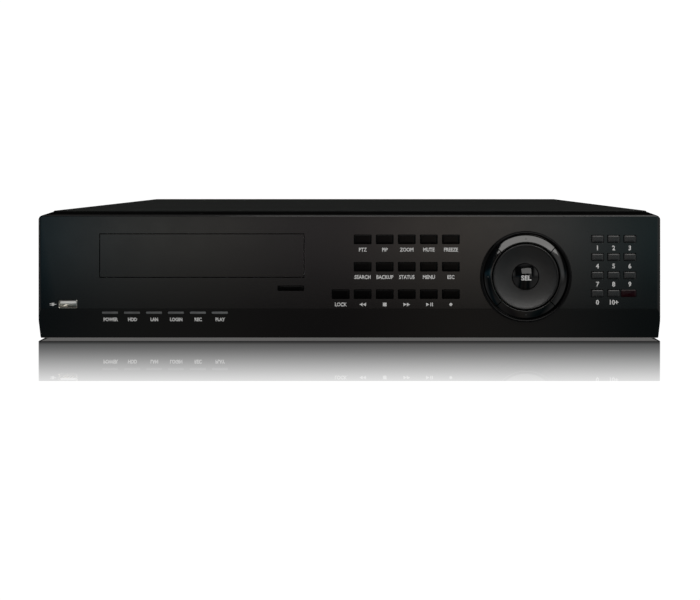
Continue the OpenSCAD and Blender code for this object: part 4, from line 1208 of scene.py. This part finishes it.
class BuildStage(RecorderOperator, bpy.types.Operator):
    """Camera, pale floor, lights and surroundings"""

    bl_idname = "recorder.stage"
    bl_label = "Stage"

    def execute(self, context):
        scene, s = context.scene, self.stage
        scene.view_settings.view_transform = "Standard"
        lens = bpy.data.cameras.new("view")
        lens.sensor_width = 36.0
        lens.lens = 36.0 * s.distance / s.frame_width
        lens.shift_x, lens.shift_y = s.shift
        lens.clip_start, lens.clip_end = 0.01, 50.0
        camera = bpy.data.objects.new("view", lens)
        camera.location = (s.sideways, FACE_Y * MM - s.distance, s.height)
        camera.rotation_euler = (math.pi / 2, 0, 0)
        scene.collection.objects.link(camera)
        scene.camera = camera
        self.floor(camera, s)
        self.lights(s)
        self.surroundings()
        return {"FINISHED"}

    def floor(self, camera, s):
        """A white floor that mirrors only under the case and in a strip in front of it, more faintly with
        distance. The strip narrows towards the camera as lines of sight do."""
        mesh = bpy.data.meshes.new("floor")
        mesh.from_pydata([(-20, -20, 0), (20, -20, 0), (20, 20, 0), (-20, 20, 0)], [], [(0, 1, 2, 3)])
        floor = bpy.data.objects.new("floor", mesh)
        bpy.context.scene.collection.objects.link(floor)
        f = Finish(bpy.data.materials.new("white_floor"), "ShaderNodeMixShader")
        mesh.materials.append(f.owner)
        x, y, _ = f.axes()
        front = FACE_Y * MM
        reach = ((front - y) / s.mirror_reach).most(0.0)
        near = (1.0 - reach ** 1.6 * 0.69) * s.mirror + (1.0 - reach * 9.0).most(0.0) * 0.07
        ends = ((y - camera.location.y) / (front - camera.location.y)).least(1.0)
        side = (x - camera.location.x + ends * camera.location.x).size()
        half_width = 0.2146
        across = (ends * half_width - side).rise(0.0, 0.0006) * (1.0 - reach).rise(0.0, 0.01)
        across = across * (y - REAR_Y * MM).rise(0.0, -0.004)
        white = f.add("Emission", None, {"Color": (1, 1, 1, 1), "Strength": 1.05})
        mirror = f.add("BsdfGlossy", None, {"Color": (1, 1, 1, 1), "Roughness": 0.015})
        f.put(f.shader.inputs[0], near * across)
        f.put(f.shader.inputs[1], white.outputs[0])
        f.put(f.shader.inputs[2], mirror.outputs[0])
        floor.visible_diffuse = False
        floor.visible_glossy = False
        floor.visible_transmission = False
        floor.visible_shadow = False

    def lights(self, s):
        """A large soft light above the camera, and one behind that gives no highlights."""
        def soft_box(name, power, at, towards, width, height, gloss=True):
            lamp = bpy.data.lights.new(name, "AREA")
            lamp.shape, lamp.size, lamp.size_y, lamp.energy = "RECTANGLE", width, height, power
            lamp.color = (1.0, 0.985, 0.96)
            holder = bpy.data.objects.new(name, lamp)
            holder.location = at
            aim = Vector(towards) - Vector(at)
            holder.rotation_euler = aim.to_track_quat("-Z", "Y").to_euler()
            holder.visible_camera = False
            holder.visible_glossy = gloss
            bpy.context.scene.collection.objects.link(holder)

        soft_box("key_light", s.key_power, (0.34, -1.25, 0.60), (0.12, -0.2, 0.045), 1.15, 0.62)
        soft_box("back_light", s.key_power * 0.8, (-0.35, 1.3, 0.7), (0.0, 0.2, 0.045), 1.2, 0.7, gloss=False)

    def surroundings(self):
        """White to the camera. To the object, a dark room with a dim glow in front just under the horizon,
        a soft patch to the right, white walls at both sides, a pale ceiling, a faint glow high up behind, and
        a grey ground to the sides and behind, so that edges, domes and the rear catch light."""
        world = bpy.data.worlds.new("studio")
        bpy.context.scene.world = world
        f = Finish(world, "ShaderNodeMixShader", "ShaderNodeOutputWorld")
        x, y, z = f.axes(f.add("TexCoord").outputs["Generated"])
        level = f.add("ValToRGB", {"stops": [
            (0.0, (0.15, 0.17, 0.19, 1)), (0.06, (0.12, 0.14, 0.17, 1)), (0.22, (0.11, 0.14, 0.17, 1)),
            (0.31, (0.2, 0.2, 0.2, 1)), (0.41, (0.05, 0.05, 0.06, 1)), (0.44, (0.10, 0.10, 0.10, 1)),
            (0.458, (0.45, 0.45, 0.45, 1)),
            (0.474, (1.0, 1.0, 1.0, 1)), (0.486, (1.0, 1.0, 1.0, 1)), (0.497, (0.5, 0.5, 0.5, 1)),
            (0.51, (0.1, 0.1, 0.1, 1)), (0.6, (0.05, 0.05, 0.05, 1)), (1.0, (0.02, 0.02, 0.02, 1))]},
            {"Fac": z * 0.5 + 0.5})
        across = f.add("ValToRGB", {"stops": [
            (0.0, (0, 0, 0, 1)), (0.33, (0.03, 0.14, 0.2, 1)), (0.352, (0.12, 0.3, 0.38, 1)),
            (0.372, (0.5, 0.58, 0.6, 1)), (0.39, (0.7, 0.71, 0.68, 1)), (0.43, (0.68, 0.65, 0.6, 1)),
            (0.482, (0.4, 0.35, 0.37, 1)), (0.548, (1.0, 0.88, 0.77, 1)), (0.59, (0.76, 0.77, 0.76, 1)),
            (0.612, (0.3, 0.42, 0.43, 1)), (0.64, (0.1, 0.25, 0.28, 1)), (0.7, (0.02, 0.07, 0.09, 1)),
            (1.0, (0, 0, 0, 1))]}, {"Fac": x * 0.5 + 0.5})
        ahead = (-y).rise(0.1, 0.5)
        walls = x.size().rise(0.72, 0.88) * z.rise(-0.12, 0.05)
        ceiling = z.rise(0.72, 0.9)
        beside = x.rise(0.3, 0.42) * x.rise(0.66, 0.6) * z.rise(-0.16, -0.06) * z.rise(0.36, 0.26) * ahead
        around = x.size().rise(0.35, 0.55).most(y.rise(0.0, 0.3)) * z.rise(0.0, -0.22)
        beyond = y.rise(0.3, 0.6) * z.rise(0.2, 0.42) * z.rise(0.8, 0.6)
        front = f.tint(ahead, (0, 0, 0, 1), f.tint(Signal(f, level.outputs[0]), (0, 0, 0, 1), across.outputs[0]))
        glow = f.add("Background", None, {"Color": front, "Strength": 1.45})
        strength = walls * 0.9 + ceiling * 0.4 + beside * 0.8 + around * 0.4 + beyond * 0.08
        room = f.add("Background", None, {"Color": (1.0, 0.98, 0.96, 1), "Strength": strength})
        dim = f.add("AddShader", None, {0: glow.outputs[0], 1: room.outputs[0]})
        bright = f.add("Background", None, {"Color": (1, 1, 1, 1), "Strength": 1.05})
        sight = f.add("LightPath").outputs["Is Camera Ray"]
        f.put(f.shader.inputs[0], sight)
        f.put(f.shader.inputs[1], dim.outputs[0])
        f.put(f.shader.inputs[2], bright.outputs[0])


# ---- Panel and registration ----


PARTS = (BuildFrontPanel, BuildFunctionKeys, BuildNumberKeys, BuildDial, BuildLamps, BuildUsbPort, BuildLegends,
         BuildCase, BuildRearSockets, BuildMains, BuildFan, BuildInside, BuildStage)


class VIEW3D_PT_recorder(bpy.types.Panel):
    """Lists the pieces that this file builds"""

    bl_label = "Video Recorder"
    bl_idname = "VIEW3D_PT_recorder"
    bl_space_type = "VIEW_3D"
    bl_region_type = "UI"
    bl_category = "Recorder"

    def draw(self, context):
        column = self.layout.column()
        for part in PARTS:
            column.operator(part.bl_idname)
        for group in (context.scene.recorder_sizes, context.scene.recorder_colours, context.scene.recorder_stage):
            for name in group.__annotations__:
                column.prop(group, name)


CLASSES = (RecorderSizes, RecorderColours, RecorderStage, *PARTS, VIEW3D_PT_recorder)


def register():
    for each in CLASSES:
        bpy.utils.register_class(each)
    bpy.types.Scene.recorder_sizes = bpy.props.PointerProperty(type=RecorderSizes)
    bpy.types.Scene.recorder_colours = bpy.props.PointerProperty(type=RecorderColours)
    bpy.types.Scene.recorder_stage = bpy.props.PointerProperty(type=RecorderStage)


def unregister():
    del bpy.types.Scene.recorder_stage, bpy.types.Scene.recorder_colours, bpy.types.Scene.recorder_sizes
    for each in reversed(CLASSES):
        bpy.utils.unregister_class(each)


def main():
    register()
    for part in PARTS:
        group, call = part.bl_idname.split(".")
        getattr(getattr(bpy.ops, group), call)()


if __name__ == "__main__":
    main()
